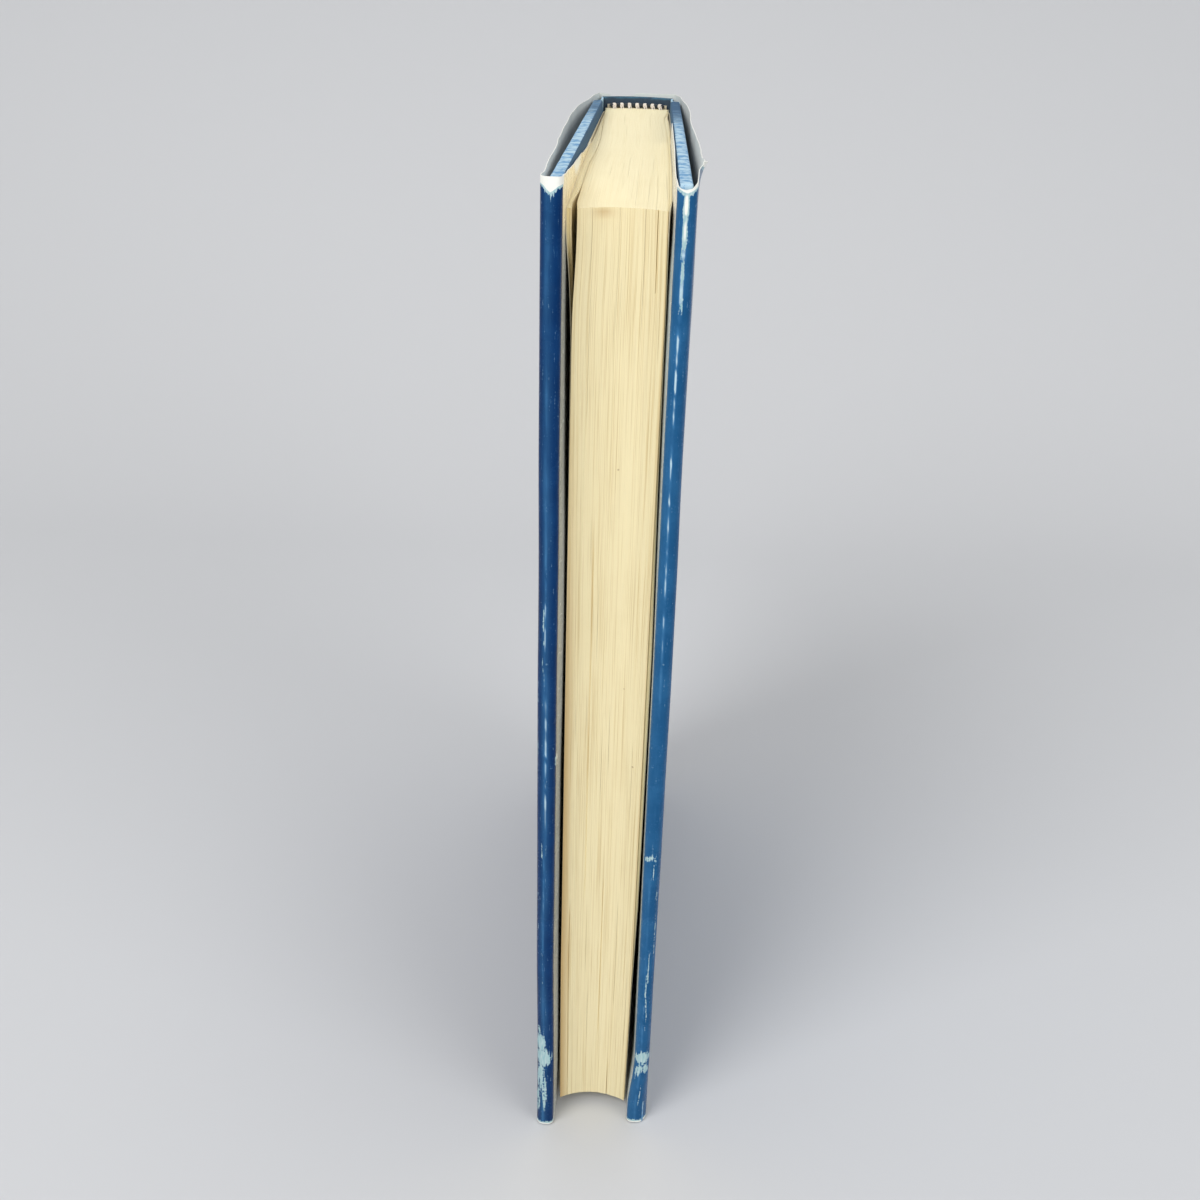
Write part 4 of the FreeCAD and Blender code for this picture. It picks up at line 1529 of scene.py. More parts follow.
        piece = sheet("spine_jacket", points, frame.jacket, chart, materials,
                      fields={WEAR_AND_GLINTS: wear})
        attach(piece, "root")
        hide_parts("jacket_spine")
        return piece


# ---------------------------------------------------------------- case
@dataclass
class Case:
    """The cloth case: cloth round each board, across both joints and round the spine."""

    frame: BookFrame
    paints: Paintbox
    edge_radius: float = 0.55
    spine_inner: float = 16.745
    spine_wall: float = 16.94
    spine_deg: float = 31.2
    groove: float = 0.1
    joint_cloth: float = 0.45
    bend: tuple[float, float] = (3.0, -2.6)
    head_fade: dict = field(default_factory=lambda: {"front": (1.0, 0.6), "back": (0.8, 0.55)})

    def build(self) -> list[bpy.types.Object]:
        """Build the case's pieces."""
        pieces = [self.build_spine()]
        for cover in Cover:
            pieces += [self.build_board_cloth(cover), self.build_joint(cover)]
        return pieces

    def build_board_cloth(self, cover: Cover) -> bpy.types.Object:
        """Build the cloth round one board, turned in over its edges.

        Args:
            cover: The cover.

        Returns:
            The piece.
        """
        frame = self.frame
        radius = self.edge_radius
        low = np.array([frame.cloth_inner, frame.cloth_fore, 0.0])
        high = np.array([frame.cloth_outer, frame.board_joint + 0.3, frame.case_head])
        bend = [0.0, 0.08, 0.3, 0.62, 1.0]
        x_stops = np.concatenate([np.array(bend) * radius + low[0],
                                  high[0] - np.array(bend[::-1]) * radius])
        wall, edge = frame.turn_in - 0.8, frame.turn_in + 0.4
        y_inner = spaced([(low[1] + radius, 0), (low[1] + wall, 22), (low[1] + edge, 6),
                          (high[1] - 1, 44), (high[1], 2)])
        y_stops = np.concatenate([low[1] + np.array(bend[:-1]) * radius, y_inner])
        z_inner = spaced([(radius, 0), (wall, 20), (edge, 6), (high[2] - edge, 50),
                          (high[2] - wall, 6), (high[2] - radius, 20)])
        z_stops = np.concatenate([np.array(bend[:-1]) * radius, z_inner,
                                  high[2] - np.array(bend[-2::-1]) * radius])
        steps, sharp, quads = lattice(x_stops, y_stops, z_stops)
        core_high = high - radius
        core_high[1] = high[1]
        core = np.clip(sharp, low + radius, core_high)
        away = sharp - core
        far = np.linalg.norm(away, axis=1, keepdims=True)
        points = np.where(far > 1e-9, core + away / np.maximum(far, 1e-9) * radius, sharp)
        inner = steps[:, 0] == 0
        well = frame.between_turn_ins(points[:, 1], points[:, 2])
        points[:, 0] += np.where(inner, 0.19 * well, 0)
        rough = Unevenness(cover.pick(81, 82))
        points[:, 2] += 0.05 * rough.at(points[:, 1] / 5, points[:, 0] / 2) * np.sign(
            points[:, 2] - high[2] / 2) * (np.abs(points[:, 2] - high[2] / 2) > high[2] / 2 - 1)
        near = np.minimum(np.minimum(points[:, 2], high[2] - points[:, 2]),
                          points[:, 1] - low[1])
        first, lost = self.head_fade[cover.word]
        # Lighter near the head, tail and fore edges as sun fading, less so on the back board and
        # towards the spine; the inner face keeps the deep colour, partly as unfaded cloth and
        # partly as painted shade.
        fade = smooth(near, 0.75, 0.2) * (first - lost * smooth(points[:, 1], -25, 58))
        fade = fade * smooth(sharp[:, 0], low[0] - 0.01, low[0] + 0.3)
        flat = points * MM
        zones = {side: 0 for side in Side}
        piece = lattice_object(
            cover.word + "_case_cloth", frame.placed(points, cover), quads, flat, zones,
            [self.paints.of(Finish.CLOTH)], cover is Cover.FRONT, 50, {FADE_SHADE_AND_SHEEN: fade})
        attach(piece, cover.body)
        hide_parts(cover.word + "_cloth")
        return piece

    def build_joint(self, cover: Cover) -> bpy.types.Object:
        """Build the cloth across one joint, pressed into its groove.

        Args:
            cover: The cover.

        Returns:
            The piece.
        """
        frame = self.frame
        radius = frame.cloth_radius
        turn = math.radians(self.spine_deg - 2.5)
        hidden = np.array([[frame.cloth_outer - 0.1, frame.board_joint - 2.5],
                           [frame.cloth_outer - 0.05, frame.board_joint - 0.4]])
        dip = frame.board_inner + self.groove + frame.cloth
        groove = np.array([[dip + 0.9, frame.board_joint + 0.5],
                           [dip + 0.1, frame.board_joint + 1.7],
                           [dip, frame.pivot_y - 0.9]])
        board_side = frame.placed(np.concatenate([
            np.concatenate([hidden, groove]), np.zeros((5, 1))], axis=1), cover)[:, :2]
        dip_x = dip - frame.splay
        over_spine = [frame.on_spine(radius, turn + 0.06),
                      frame.on_spine(radius - 0.02, turn),
                      frame.on_spine(radius - 0.06, turn - 0.05)]
        spine_side = np.array([(dip_x, frame.pivot_y + 1.6),
                               (dip_x + 0.05, frame.shoulder_y - 0.6), *over_spine])
        spine_side[2, 1] -= 0.1
        spine_side[:, 0] *= cover.side
        line = clamped_curve(np.concatenate([board_side, spine_side]), 34)
        rows = spaced([(0.05, 0), (frame.case_head / 2, 20), (frame.case_head - 0.05, 20)])
        points = np.concatenate([
            np.broadcast_to(line, (len(rows), *line.shape)),
            np.broadcast_to(rows[:, None, None], (len(rows), len(line), 1))], axis=-1)
        run = way_along(line)
        chart = np.stack([np.broadcast_to(run, points.shape[:2]), points[..., 2]],
                         axis=-1) * MM
        fade = smooth(np.minimum(points[..., 2], frame.case_head - points[..., 2]), 0.6, 0.2)
        if cover is Cover.BACK:
            points, chart, fade = points[::-1], chart[::-1], fade[::-1]
        piece = sheet(cover.word + "_joint_cloth", points, self.joint_cloth, chart,
                      [self.paints.of(Finish.CLOTH)] * 3, {FADE_SHADE_AND_SHEEN: fade})
        frame.joined(piece, cover, *self.bend)
        return piece

    def build_spine(self) -> bpy.types.Object:
        """Build the spine's cloth over its strip, turned in at head and tail."""
        frame = self.frame
        outer = frame.cloth_radius
        radius = 0.3
        turns = np.radians(np.linspace(-self.spine_deg, self.spine_deg, 49))
        bend = np.array([0.0, 0.12, 0.5, 1.0])
        depth = outer - self.spine_inner
        depths = np.concatenate([bend * radius, depth - bend[::-1] * radius])
        head, wall, edge = frame.case_head, frame.turn_in - 0.6, frame.turn_in + 0.2
        heights = np.concatenate([
            bend[:-1] * radius,
            spaced([(radius, 0), (wall, 12), (edge, 4), (head - edge, 50), (head - wall, 4),
                    (head - radius, 12)]), head - bend[-2::-1] * radius])
        steps, placed, quads = lattice(turns, depths, heights)
        turn, in_depth, z = placed.T
        core_depth = np.clip(in_depth, radius, depth - radius)
        core_z = np.clip(z, radius, head - radius)
        away = np.stack([in_depth - core_depth, z - core_z], axis=-1)
        far = np.linalg.norm(away, axis=1, keepdims=True)
        bent = away / np.maximum(far, 1e-9) * np.minimum(far, radius)
        in_depth, z = core_depth + bent[:, 0], core_z + bent[:, 1]
        start, full = frame.turn_in - 0.4, frame.turn_in
        bare = smooth(z, start, full) * smooth(z, head - start, head - full)
        in_depth = in_depth + np.where(steps[:, 1] == 0, bare * (
            self.spine_wall - self.spine_inner), 0)
        reach = self.spine_inner + in_depth
        points = np.stack([*frame.on_spine(reach, turn), z], axis=-1)
        flat = np.stack([turn * outer, in_depth, z], axis=-1) * MM
        fade = smooth(np.minimum(z, head - z), 0.5, 0.1)
        piece = lattice_object("spine_case_cloth", points, quads, flat,
                               {side: 0 for side in Side},
                               [self.paints.of(Finish.SPINE_CLOTH)], sharp_deg=50,
                               fields={FADE_SHADE_AND_SHEEN: fade})
        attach(piece, "root")
        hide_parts("cloth_spine")
        return piece


# ---------------------------------------------------------------- leaves
@dataclass
class Leaves:
    """The text block, its loose first leaves and the endpapers."""

    frame: BookFrame
    paints: Paintbox
    leaf_count: int = 156
    hollow: float = 2.1
    lean_tail: float = -0.15
    lean_head: float = 0.45
    pinch: float = 0.9
    pinch_height: float = 45.0
    sag: float = 2.4
    loose_leaves: int = 12
    left_head: tuple = ((-69.6, -7.2), (-67.6, -7.27), (-62.7, -7.66), (-46.4, -7.7),
                        (-19.0, -7.72), (-13.0, -7.41), (0.0, -7.06), (13.0, -6.96),
                        (30.0, -7.35), (62.0, -8.0))
    right_head: tuple = ((-69.6, 8.25), (-54.0, 8.44), (-13.0, 8.38), (8.0, 8.2),
                         (28.0, 7.8), (44.0, 7.3), (52.0, 7.3), (62.0, 8.0))
    left_gape: tuple = ((-68.3, 0.95), (-64.4, 0.8), (-60.7, 0.62), (-56.1, 0.36),
                        (-50.6, 0.12), (-46.0, 0.0))
    right_spread: tuple = ((-68.3, 0.12), (-60.0, 0.4), (-50.0, 0.85), (-40.0, 0.95),
                           (-13.0, 0.6), (8.0, 0.55), (28.0, 0.75), (44.0, 1.0),
                           (62.0, 0.2))
    right_swell: tuple = ((40, 0.0), (62, 0.42), (97, 0.55), (125, 0.62), (140, 0.4),
                          (160, 0.15), (185, 0.0))
    spread_from: tuple = ((0, 0), (188, 0), (196, 0.3), (203, 0.75), (207, 0.95), (211, 1))
    cracks: tuple = ((0.89, 196.0, 230.0, 0.45), (0.72, -9.0, 15.0, 0.45),
                     (0.1, -9.0, 62.0, 0.3), (0.55, 20.0, 70.0, 0.2), (0.3, 60.0, 150.0, 0.15))
    paper: float = 0.1
    loose_paper: float = 0.12
    leaf_bend: tuple[float, float] = (2.4, -2.2)
    paste_bend: float = -2.0
    paste_margin: float = 3.0
    gauze_from: float = 31.0

    def build(self) -> list[bpy.types.Object]:
        """Build the leaves."""
        return [self.build_block(), self.build_front_loose(), self.build_rear_loose(),
                self.build_front_leaf(), self.build_rear_leaf(), self.build_pastedown(Cover.FRONT),
                self.build_pastedown(Cover.BACK)]

    def drop(self, y: Grid) -> Grid:
        """Return how much lower the leaves hang at a place along y than by the spine."""
        frame = self.frame
        length = frame.neck_y - frame.block_low.y
        return self.sag * np.clip((frame.neck_y - y) / length, 0, 1)

    def block_side(self, side: int, z: Grid) -> Grid:
        """Return the block's side at its fore edge, at heights z."""
        lean = self.lean_tail + (self.lean_head - self.lean_tail) * z / self.frame.case_head
        pinch = self.pinch * np.clip(1 - z / self.pinch_height, 0, 1)
        half = self.frame.block_half - pinch / 2
        opened = -0.2 * smooth(z, 206, 188) * smooth(z, 40, 150)
        return lean + side * half + (opened if side < 0 else 0)

    def build_block(self) -> bpy.types.Object:
        """Build the block: every leaf's edge stands a little in or out at the trim."""
        frame = self.frame
        fore, neck, shoulder = frame.block_low.y, frame.neck_y, frame.shoulder_y
        t_stops = spaced([(0, 0), (0.01, 2), (0.9, 36), (1.0, 8)])
        u_stops = spaced([(0, 0), (0.01, 3), (0.99, 84), (1.0, 3)])
        steps, placed, quads = lattice(spaced([(0, 0), (1, self.leaf_count)]), t_stops, u_stops)
        a, t, u = placed.T
        number, last = steps[:, 0], self.leaf_count
        length = shoulder - fore
        y_plain = fore + t * length
        tail, head = frame.block_low.z + self.sag, frame.block_high.z
        z_plain = tail - self.sag + u * (head - tail)
        half = frame.block_half
        flare = (frame.block_high.x - half) * np.clip((y_plain - neck) / (shoulder - neck), 0, 1)
        left = self.side_x(-1, y_plain, z_plain) - flare
        right = self.side_x(1, y_plain, z_plain) + flare
        x = left + a * (right - left)
        y_start = fore + self.hollow * (1 - (2 * a - 1) ** 2)
        y_end = frame.spine_axis_y + np.sqrt(frame.spine_radius ** 2 - np.minimum(
            x, frame.block_high.x) ** 2)
        y = y_start + t * (y_end - y_start)
        z = self.level(u) + self.sag - self.drop(y)

        draw = np.random.default_rng(7)
        leaf = draw.normal(0, 1, last + 1)
        gather = np.repeat(draw.normal(0, 1, last // 13 + 2), 13)[:last + 1]
        step = 0.6 * leaf + 0.5 * gather
        wave = Unevenness(91)
        settle = wave.at(number / 9, z / 26) + 0.5 * wave.at(number / 2.3 + 30, z / 60)
        y = y + np.where(t == 0, 0.022 * step[number] + 0.035 * settle, 0)
        for share, low, high, depth in self.cracks:
            parted = (number == round(share * last)) & (t == 0)
            y = y + parted * depth * smooth(z, low, low + 5) * smooth(z, high, high - 5)
        lift = 0.012 * leaf[::-1][number] + 0.03 * wave.at(number / 12, y / 18)
        z = z + np.where(u == 1, lift, 0) - np.where(u == 0, lift, 0)
        points = np.stack([x, y, z], axis=-1)
        flat = np.stack([a * 2 * half, y, z], axis=-1) * MM
        # Painted shade darkens the edges towards the front cover, more so lower down, and beside
        # the back cover; the thumbed spot near the head is soiling.
        low_down = smooth(z, 190, 90)
        shade_and_soil = 0.75 * low_down * smooth(a, 0.13, 0.03) + 0.25 * smooth(a, 0.05, 0.0)
        shade_and_soil = np.maximum(shade_and_soil, 0.35 * smooth(a, 0.97, 1.0))
        thumbed = np.exp(-((a - 0.3) / 0.12) ** 2 - ((z - 210.2) / 0.9) ** 2)
        shade_and_soil = np.maximum(shade_and_soil, 0.75 * thumbed * smooth(y, fore + 2.6, fore + 1.6))
        piece = self.leaf_object("leaves", points, quads, flat, shade_and_soil)
        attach(piece, "root")
        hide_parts("text_block")
        return piece

    def leaf_object(self, name: str, points: Grid, quads: dict[Side, Grid], flat: Grid,
                    shade_and_soil: Grid) -> bpy.types.Object:
        """Make an object of many leaves, dressed by its trimmed and its flat sides.

        Args:
            name: The piece's name.
            points: The placed points.
            quads: Each side's quads.
            flat: Three coordinates a point, in metres.
            shade_and_soil: How darkened each point is.

        Returns:
            The object.
        """
        zones = {Side.FORE: 0, Side.HEAD: 1, Side.TAIL: 1, Side.SPINE: 2, Side.LEFT: 2,
                 Side.RIGHT: 2}
        materials = self.paints.these(Finish.EDGES, Finish.HEAD_EDGES, Finish.LEAF_FACE)
        return lattice_object(name, points, quads, flat, zones, materials, sharp_deg=60,
                              fields={FADE_SHADE_AND_SHEEN: shade_and_soil})

    def side_x(self, side: int, y: Grid, z: Grid) -> Grid:
        """Return the block's side: straight from fore edge to neck, handled at the head.

        Args:
            side: -1 for the front cover's side, 1 for the back's.
            y: Places along the leaves.
            z: Heights.

        Returns:
            x.
        """
        frame = self.frame
        to_neck = np.clip((y - frame.block_low.y) / (frame.neck_y - frame.block_low.y), 0, 1)
        plain = self.block_side(side, z) * (1 - to_neck) + side * frame.block_half * to_neck
        line = self.left_head if side < 0 else self.right_head
        return plain + (np.interp(y, *zip(*line)) - plain) * smooth(z, 192, 209)

    def level(self, share: Grid) -> Grid:
        """Return the height at the fore edge for shares of the leaves' height."""
        frame = self.frame
        return frame.block_low.z + share * (frame.block_high.z - frame.block_low.z - self.sag)

    def reach(self, z: Grid) -> Grid:
        """Return how far the loose leaves spread from the block at heights z."""
        return np.interp(z, *zip(*self.spread_from))

    def leaf_grid(self, joint_y: float, fore_y: float) -> tuple[Grid, Grid]:
        """Return y and the share of height over a leaf, joint to fore, tail to head."""
        y = spaced([(joint_y, 0), (joint_y - 6, 16), (joint_y - 12, 6), (-30, 14),
                    (fore_y, 26)])
        share = spaced([(0, 0), (0.75, 24), (1, 26)])
        return np.meshgrid(y, share, indexing="ij")

    def leaf_sheet(self, name: str, x: Grid, y: Grid, share: Grid,
                   thickness: float) -> bpy.types.Object:
        """Make a leaf from its x over a grid, trimmed with the block at head and tail."""
        z = self.level(share) + self.sag - self.drop(y)
        points = np.stack([x, y, z], axis=-1)
        chart = np.stack([y, z], axis=-1) * MM
        return sheet(name, points, thickness, chart, [self.paints.of(Finish.ENDPAPER)] * 3)

    def flap_x(self, cover: Cover, y: Grid, z: Grid) -> Grid:
        """Return how far from the middle a cover's flap lies, at places y and heights z."""
        frame = self.frame
        splayed = frame.splay * (y + frame.slip - frame.cloth_fore) / (
            frame.pivot_y - frame.cloth_fore)
        return frame.flap_face - splayed - frame.tucked(cover, y + frame.slip, z)

    def front_x(self, y: Grid, share: Grid) -> Grid:
        """Return the outer x of the front free leaf: it lies on the flap at the head."""
        frame = self.frame
        flap = self.flap_x(Cover.FRONT, y, self.level(share)) - 0.02
        near = frame.block_half + self.loose_paper
        over = np.interp(y, (8.0, 22.0, 36.0, 50.0, 62.0), (0.0, 0.35, 0.45, 0.6, 1.0))
        far = flap + over * (near - 0.1 - flap)
        wave = Unevenness(101)
        lean = self.reach(self.level(share))
        return -(near + (far - near) * lean) + 0.02 * wave.at(y / 15, share * 10) * lean

    def build_front_leaf(self) -> bpy.types.Object:
        """Build the front free endpaper."""
        frame = self.frame
        joint_y = frame.neck_y - 0.4
        y, share = self.leaf_grid(joint_y, frame.block_low.y + 0.1)
        x = self.front_x(y, share)
        y = y + self.drawn_back(y, self.level(share)) * 0.5
        piece = self.leaf_sheet("front_free_leaf", x, y, share, self.paper)
        frame.joined(piece, Cover.FRONT, *self.leaf_bend)
        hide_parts("front_flyleaf")
        return piece

    def drawn_back(self, y: Grid, z: Grid) -> Grid:
        """Return how far the loose leaves' fore edges stay behind the block's."""
        return 3.2 * smooth(z, 207.5, 199) * smooth(y, -45, -67)

    def gathering(self, name: str, left: Callable, right: Callable) -> bpy.types.Object:
        """Make a few loose leaves beside the block.

        Args:
            name: The piece's name.
            left: Gives the left side's x from y and the share of the height.
            right: Gives the right side's x in the same way.

        Returns:
            The piece.
        """
        frame = self.frame
        y_stops = spaced([(frame.block_low.y + 0.1, 0), (-30, 34), (frame.neck_y - 2, 26)])
        u_stops = spaced([(0, 0), (0.85, 24), (0.995, 44), (1, 2)])
        steps, placed, quads = lattice(spaced([(0, 0), (1, self.loose_leaves)]), y_stops,
                                       u_stops)
        a, y, u = placed.T
        start, end = left(y, u), right(y, u)
        x = start + a * (end - start)
        draw = np.random.default_rng(len(name)).normal(0, 1, self.loose_leaves + 1)
        z = self.level(u) + self.sag - self.drop(y)
        z = z + np.where(u == 1, 0.03 * draw[steps[:, 0]], 0)
        y = y + self.drawn_back(y, self.level(u)) * (1 if name.startswith("front") else 0.12)
        y = y + np.where(steps[:, 1] == 0, 0.05 * draw[::-1][steps[:, 0]], 0)
        points = np.stack([x, y, z], axis=-1)
        piece = self.leaf_object(name, points, quads, points * MM, 0 * a)
        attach(piece, "root")
        return piece

    def build_front_loose(self) -> bpy.types.Object:
        """Build the first leaves, which part from the block at the head's fore corner."""
        def outer(y: Grid, share: Grid) -> Grid:
            return self.front_x(y, share) + self.loose_paper

        def inner(y: Grid, share: Grid) -> Grid:
            z = self.level(share)
            gape = np.interp(y, *zip(*self.left_gape)) * self.reach(z)
            return np.maximum(self.side_x(-1, y, z) - 0.07 - gape, outer(y, share) + 0.05)

        return self.gathering("front_loose_leaves", outer, inner)

    def rear_x(self, y: Grid, share: Grid) -> Grid:
        """Return the outer x of the rear free leaf."""
        z = self.level(share)
        spread = np.interp(y, *zip(*self.right_spread)) - 0.12
        swell = np.interp(z, *zip(*self.right_swell)) * smooth(y, -40, -64)
        free = self.side_x(1, y, z) + 0.24 + spread * self.reach(z) + swell
        return np.minimum(free, self.flap_x(Cover.BACK, y, z) - 0.05 + smooth(y, 6, 14))

    def build_rear_loose(self) -> bpy.types.Object:
        """Build the last leaves, which spread towards the back cover at the head."""
        def inner(y: Grid, share: Grid) -> Grid:
            return self.side_x(1, y, self.level(share)) + 0.02

        return self.gathering("rear_loose_leaves", inner,
                              lambda y, share: self.rear_x(y, share) - self.loose_paper)

    def build_rear_leaf(self) -> bpy.types.Object:
        """Build the rear free endpaper."""
        frame = self.frame
        y, share = self.leaf_grid(frame.neck_y - 0.15, frame.block_low.y + 0.05)
        x = self.rear_x(y, share)
        y = y + self.drawn_back(y, self.level(share)) * 0.3
        piece = self.leaf_sheet("rear_free_leaf", x, y, share, -self.paper)
        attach(piece, "root")
        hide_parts("rear_flyleaf")
        return piece

    def build_pastedown(self, cover: Cover) -> bpy.types.Object:
        """Build one pastedown: over the turn-ins, sunk between them, hinged to the block.

        Args:
            cover: The cover.

        Returns:
            The piece.
        """
        frame = self.frame
        start = frame.cloth_fore + self.paste_margin
        wall, edge = frame.turn_in - 0.6, frame.turn_in + 0.3
        y_stops = spaced([(start, 0), (frame.cloth_fore + wall, 12),
                          (frame.cloth_fore + edge, 5), (frame.board_joint - 1, 30),
                          (frame.pivot_y - 0.6, 8)])
        low, high = self.paste_margin, frame.case_head - self.paste_margin
        z_stops = spaced([(low, 0), (wall, 8), (edge, 5), (high - 12.3, 40), (high - 11.4, 5),
                          (high, 8)])
        y, z = np.meshgrid(y_stops, z_stops, indexing="ij")
        sunk = frame.between_turn_ins(y, z)
        sunk = sunk * smooth(y, self.gauze_from, self.gauze_from - 2.0)
        x = frame.paste_face + 0.15 * sunk
        flat = frame.placed(np.stack([x, y, z], axis=-1), cover)
        hinge_y = frame.neck_y - 0.3
        gap = frame.block_half + 0.02
        step = spaced([(0.0, 0), (1.0, 9)])[1:]
        last = flat[-1]
        target = np.stack([np.full(len(z_stops), gap * cover.side),
                           np.full(len(z_stops), hinge_y), z_stops], axis=-1)
        hinge = last[None] + step[:, None, None] * (target - last)[None]
        points = np.concatenate([flat, hinge])
        run = way_along(points[:, 0, :2])
        chart = np.stack([np.broadcast_to(run[:, None], points.shape[:2]), points[..., 2]],
                         axis=-1) * MM
        # The face looks to the block: +x on the front cover, -x on the back cover.
        if cover is Cover.BACK:
            points, chart = points[:, ::-1], chart[:, ::-1]
        piece = sheet(cover.word + "_paste_leaf", points, self.paper, chart,
                      [self.paints.of(Finish.ENDPAPER)] * 3)
        frame.joined(piece, cover, hinge_y - frame.pivot(cover)[1], self.paste_bend)
        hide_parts(cover.word + "_pastedown")
        return piece


# ---------------------------------------------------------------- head and tail bands
@dataclass
class SewnBand:
    """A band at one end of the spine: light thread over a cord, dark thread between."""

    frame: BookFrame
    paints: Paintbox
    at_head: bool
    beads: int = 7
    pitch: float = 2.06
    bead_length: float = 1.14
    bead_radius: float = 0.6
    dark_radius: float = 0.5
    turns: int = 5
    tie_radius: float = 0.13

    def __post_init__(self) -> None:
        """Work out the band's own radius and height."""
        self.radius = self.frame.spine_radius - self.bead_radius - 0.02
        frame = self.frame
        self.height = (frame.block_high.z + self.bead_radius + 0.12 if self.at_head
                       else frame.block_low.z + 2.4 - self.bead_radius)
        self.up = 1 if self.at_head else -1
        self.word = "headband" if self.at_head else "tailband"

    def build(self) -> list[bpy.types.Object]:
        """Build the band's pieces."""
        light = self.build_light()
        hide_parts(self.word + "_beads")
        dark = self.build_dark()
        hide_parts(self.word + "_cord")
        ties = self.build_ties()
        for piece, slot in ((light, "thread_light"), (dark, "thread_dark"),
                            (ties, "thread_light")):
            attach(piece, "root")
        return [light, dark, ties]

    def on_band(self, run: Grid) -> Grid:
        """Return points on the band's centre line at places along it."""
        turn = np.asarray(run) / self.radius
        return np.stack([*self.frame.on_spine(self.radius, turn),
                         np.full(len(turn), self.height)], axis=-1)

    def build_light(self) -> bpy.types.Object:
        """Build the beads: a few close turns of light thread each."""
        parts = []
        for number in range(self.beads):
            middle = (number - (self.beads - 1) / 2) * self.pitch
            place = np.linspace(-1, 1, 31)
            barrel = (1 - np.abs(place) ** 2.3) ** (1 / 2.3)
            ripple = 0.045 * np.abs(np.cos(place * math.pi * self.turns / 2))
            radius = self.bead_radius * (0.35 + 0.62 * barrel) + ripple * barrel
            path = self.on_band(middle + place * self.bead_length / 2)
            parts.append(tube(path, radius, 20))
        return tubes_object(self.word + "_light_thread", parts,
                            self.paints.of(Finish.THREAD_LIGHT))

    def build_dark(self) -> bpy.types.Object:
        """Build the dark thread wound on the cord from end to end."""
        half = self.pitch * self.beads / 2 + 0.1
        run = np.linspace(-half, half, 220)
        ripple = 0.035 * np.abs(np.sin(run * math.pi / 0.22))
        end = smooth(half - np.abs(run), 0.0, 0.35)
        parts = [tube(self.on_band(run), (self.dark_radius - 0.03 + ripple) * (
            0.5 + 0.5 * end), 16)]
        return tubes_object(self.word + "_dark_thread", parts,
                            self.paints.of(Finish.THREAD_DARK))

    def build_ties(self) -> bpy.types.Object:
        """Build the small stitches that come down from the beads into the leaves."""
        parts = []
        for number in range(self.beads):
            middle = (number - (self.beads - 1) / 2) * self.pitch
            for shift, slack in ((-0.28, 0.2), (0.12, -0.1), (0.4, 0.15)):
                top = self.on_band(np.array([middle + shift]))[0]
                foot = self.on_band(np.array([middle + shift + slack]))[0]
                out = np.array([0.0, -1.0, 0.0])
                up = np.array([0.0, 0.0, float(self.up)])
                path = np.array([
                    top + out * self.bead_radius * 0.9 + up * 0.1,
                    top + out * (self.bead_radius + 0.1) - up * 0.28,
                    foot + out * (self.bead_radius + 0.28) - up * 0.52,
                    foot + out * (self.bead_radius + 0.62) - up * 0.66,
                    foot + out * (self.bead_radius + 0.75) - up * 0.85])
                parts.append(tube(clamped_curve(path, 10), self.tie_radius, 8))
        return tubes_object(self.word + "_ties", parts, self.paints.of(Finish.THREAD_LIGHT))


# ---------------------------------------------------------------- inside of the case
@dataclass
class HiddenParts:
    """Solids that stay as packed: boards, gauze, kraft lining, strip and band tapes."""

    nodes: dict[str, bpy.types.Object]
    paints: Paintbox

    def dress(self) -> list[bpy.types.Object]:
        """Give each its own stock."""
        boards = dict.fromkeys(("front_board", "back_board", "spine_strip"), Finish.BOARD)
        gauzes = dict.fromkeys(("spine_super", "front_super_flange", "back_super_flange"),
                               Finish.GAUZE)
        tapes = dict.fromkeys(("headband_tape", "tailband_tape"), Finish.TAPE)
        stocks = {**boards, **gauzes, "spine_lining": Finish.KRAFT, **tapes}
        for name, finish in stocks.items():
            node = self.nodes[name]
            node.data.materials.clear()
            node.data.materials.append(self.paints.of(finish))
        return [self.nodes[name] for name in stocks]


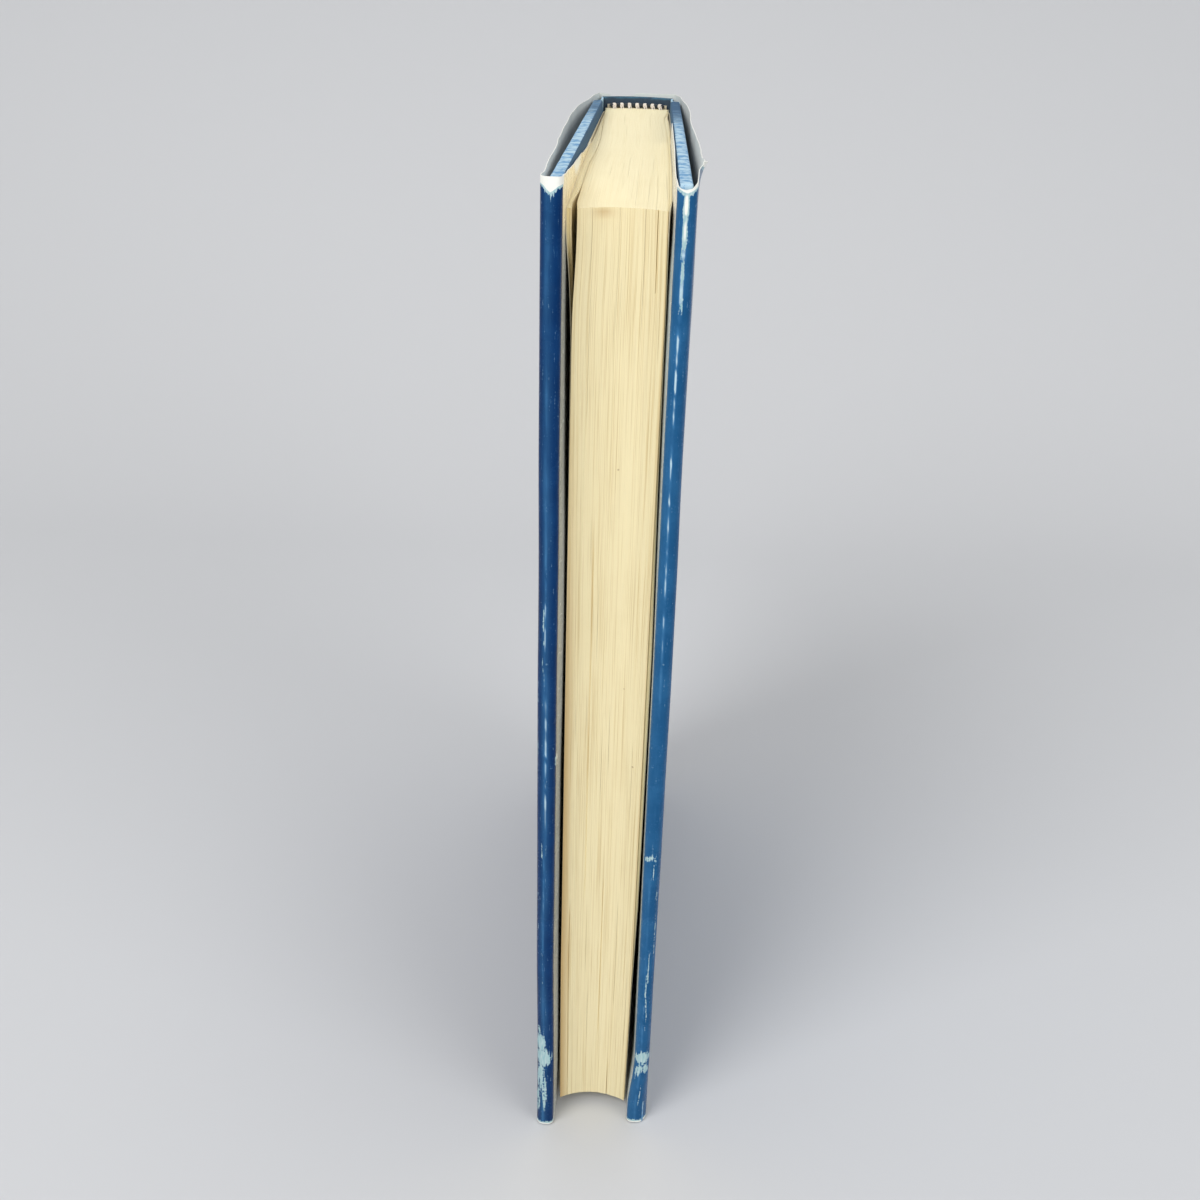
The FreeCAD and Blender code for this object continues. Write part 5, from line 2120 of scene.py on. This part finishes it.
# ---------------------------------------------------------------- studio
@dataclass
class Studio:
    """A plain pale sweep, soft light and the camera."""

    camera_place: tuple[float, float, float] = (0.006077, -0.297385, 0.250103)
    pitch_deg: float = 26.2961
    heading_deg: float = 1.9029
    roll_deg: float = 1.6008
    lens: float = 39.336
    sweep_back: float = 520.0
    sweep_bend: float = 260.0
    sweep_front: float = -2200.0
    sweep_top: float = 1600.0
    sweep_half: float = 1800.0
    sweep: Colour = srgb(205, 206, 208)
    world_level: float = 0.45

    def build(self) -> None:
        """Build the sweep, the lights, the world and the camera."""
        self.build_sweep()
        self.build_lights()
        self.build_camera()
        bpy.context.scene.view_settings.view_transform = "Standard"

    def build_sweep(self) -> None:
        """Build the floor, which rises into a backdrop well behind the book."""
        turn = np.radians(np.linspace(0, 90, 25))[1:]
        bend, start = self.sweep_bend, self.sweep_back - self.sweep_bend
        rise = np.stack([start + bend * np.sin(turn), bend - bend * np.cos(turn)], axis=-1)
        path = np.concatenate([[(self.sweep_front, 0.0), (0.0, 0.0), (start, 0.0)], rise,
                               [(self.sweep_back, self.sweep_top)]])
        across = np.linspace(-self.sweep_half, self.sweep_half, 5)
        across, place = np.meshgrid(across, np.arange(len(path)), indexing="ij")
        points = np.concatenate([across[..., None], path[place]], axis=-1)
        index = np.arange(points.shape[0] * points.shape[1]).reshape(points.shape[:2])
        material, bench = blank("pale_sweep")
        painted("pale_sweep", self.sweep, 0.9, None, bench, {"Specular IOR Level": 0.1})
        faces = grid_quads(index)
        floor = as_object("sweep", points.reshape(-1, 3), faces,
                          np.zeros((faces.size, 2)), np.zeros(len(faces)), [material])

    def build_lights(self) -> None:
        """Hang one broad key, a fill and a soft top light, and set the world."""
        for name, place, aim, size, power in (
                ("key", (-0.55, -0.75, 0.95), (0, -0.02, 0.11), 0.7, 8.5),
                ("fill", (0.75, -0.7, 0.6), (0, 0, 0.11), 0.8, 3.9),
                ("top", (0.1, 0.1, 1.25), (0, 0, 0.2), 0.9, 2.6)):
            lamp = bpy.data.lights.new(name, "AREA")
            lamp.shape, lamp.size, lamp.energy = "DISK", size, power
            thing = bpy.data.objects.new(name, lamp)
            thing.location = place
            thing.rotation_euler = (Vector(aim) - Vector(place)).to_track_quat(
                "-Z", "Y").to_euler()
            bpy.context.scene.collection.objects.link(thing)
        world = bpy.data.worlds.new("studio_air")
        world.use_nodes = True
        world.node_tree.nodes.clear()
        bench = Bench(world.node_tree)
        air = bench.lay("ShaderNodeBackground", {0: (1.0, 1.0, 1.0, 1.0),
                                                 1: self.world_level})
        bench.lay("ShaderNodeOutputWorld", {0: air.outputs[0]})
        bpy.context.scene.world = world

    def build_camera(self) -> None:
        """Set the camera up."""
        lens = bpy.data.cameras.new("camera")
        lens.lens, lens.sensor_width, lens.sensor_fit = self.lens, 36.0, "HORIZONTAL"
        lens.clip_start, lens.clip_end = 0.01, 20.0
        camera = bpy.data.objects.new("camera", lens)
        turn = (Matrix.Rotation(math.radians(self.heading_deg), 4, "Z")
                @ Matrix.Rotation(math.radians(90 - self.pitch_deg), 4, "X")
                @ Matrix.Rotation(math.radians(self.roll_deg), 4, "Z"))
        camera.matrix_world = Matrix.Translation(self.camera_place) @ turn
        bpy.context.scene.collection.objects.link(camera)
        bpy.context.scene.camera = camera


# ---------------------------------------------------------------- the book
def main() -> None:
    """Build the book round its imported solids."""
    logging.basicConfig(level=logging.INFO, format="%(name)s: %(message)s")
    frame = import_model()
    places = BookFrame(frame)
    paints = Paintbox()
    pieces = [*Leaves(places, paints).build(), *Case(places, paints).build(),
              *DustJacket(places, paints).build(),
              *SewnBand(places, paints, at_head=True).build(),
              *SewnBand(places, paints, at_head=False).build(),
              *HiddenParts(frame["nodes"], paints).dress()]
    for piece in pieces:
        LOG.info("%s, %d faces", piece.name, len(piece.data.polygons))
    Studio().build()


if __name__ == "__main__":
    main()
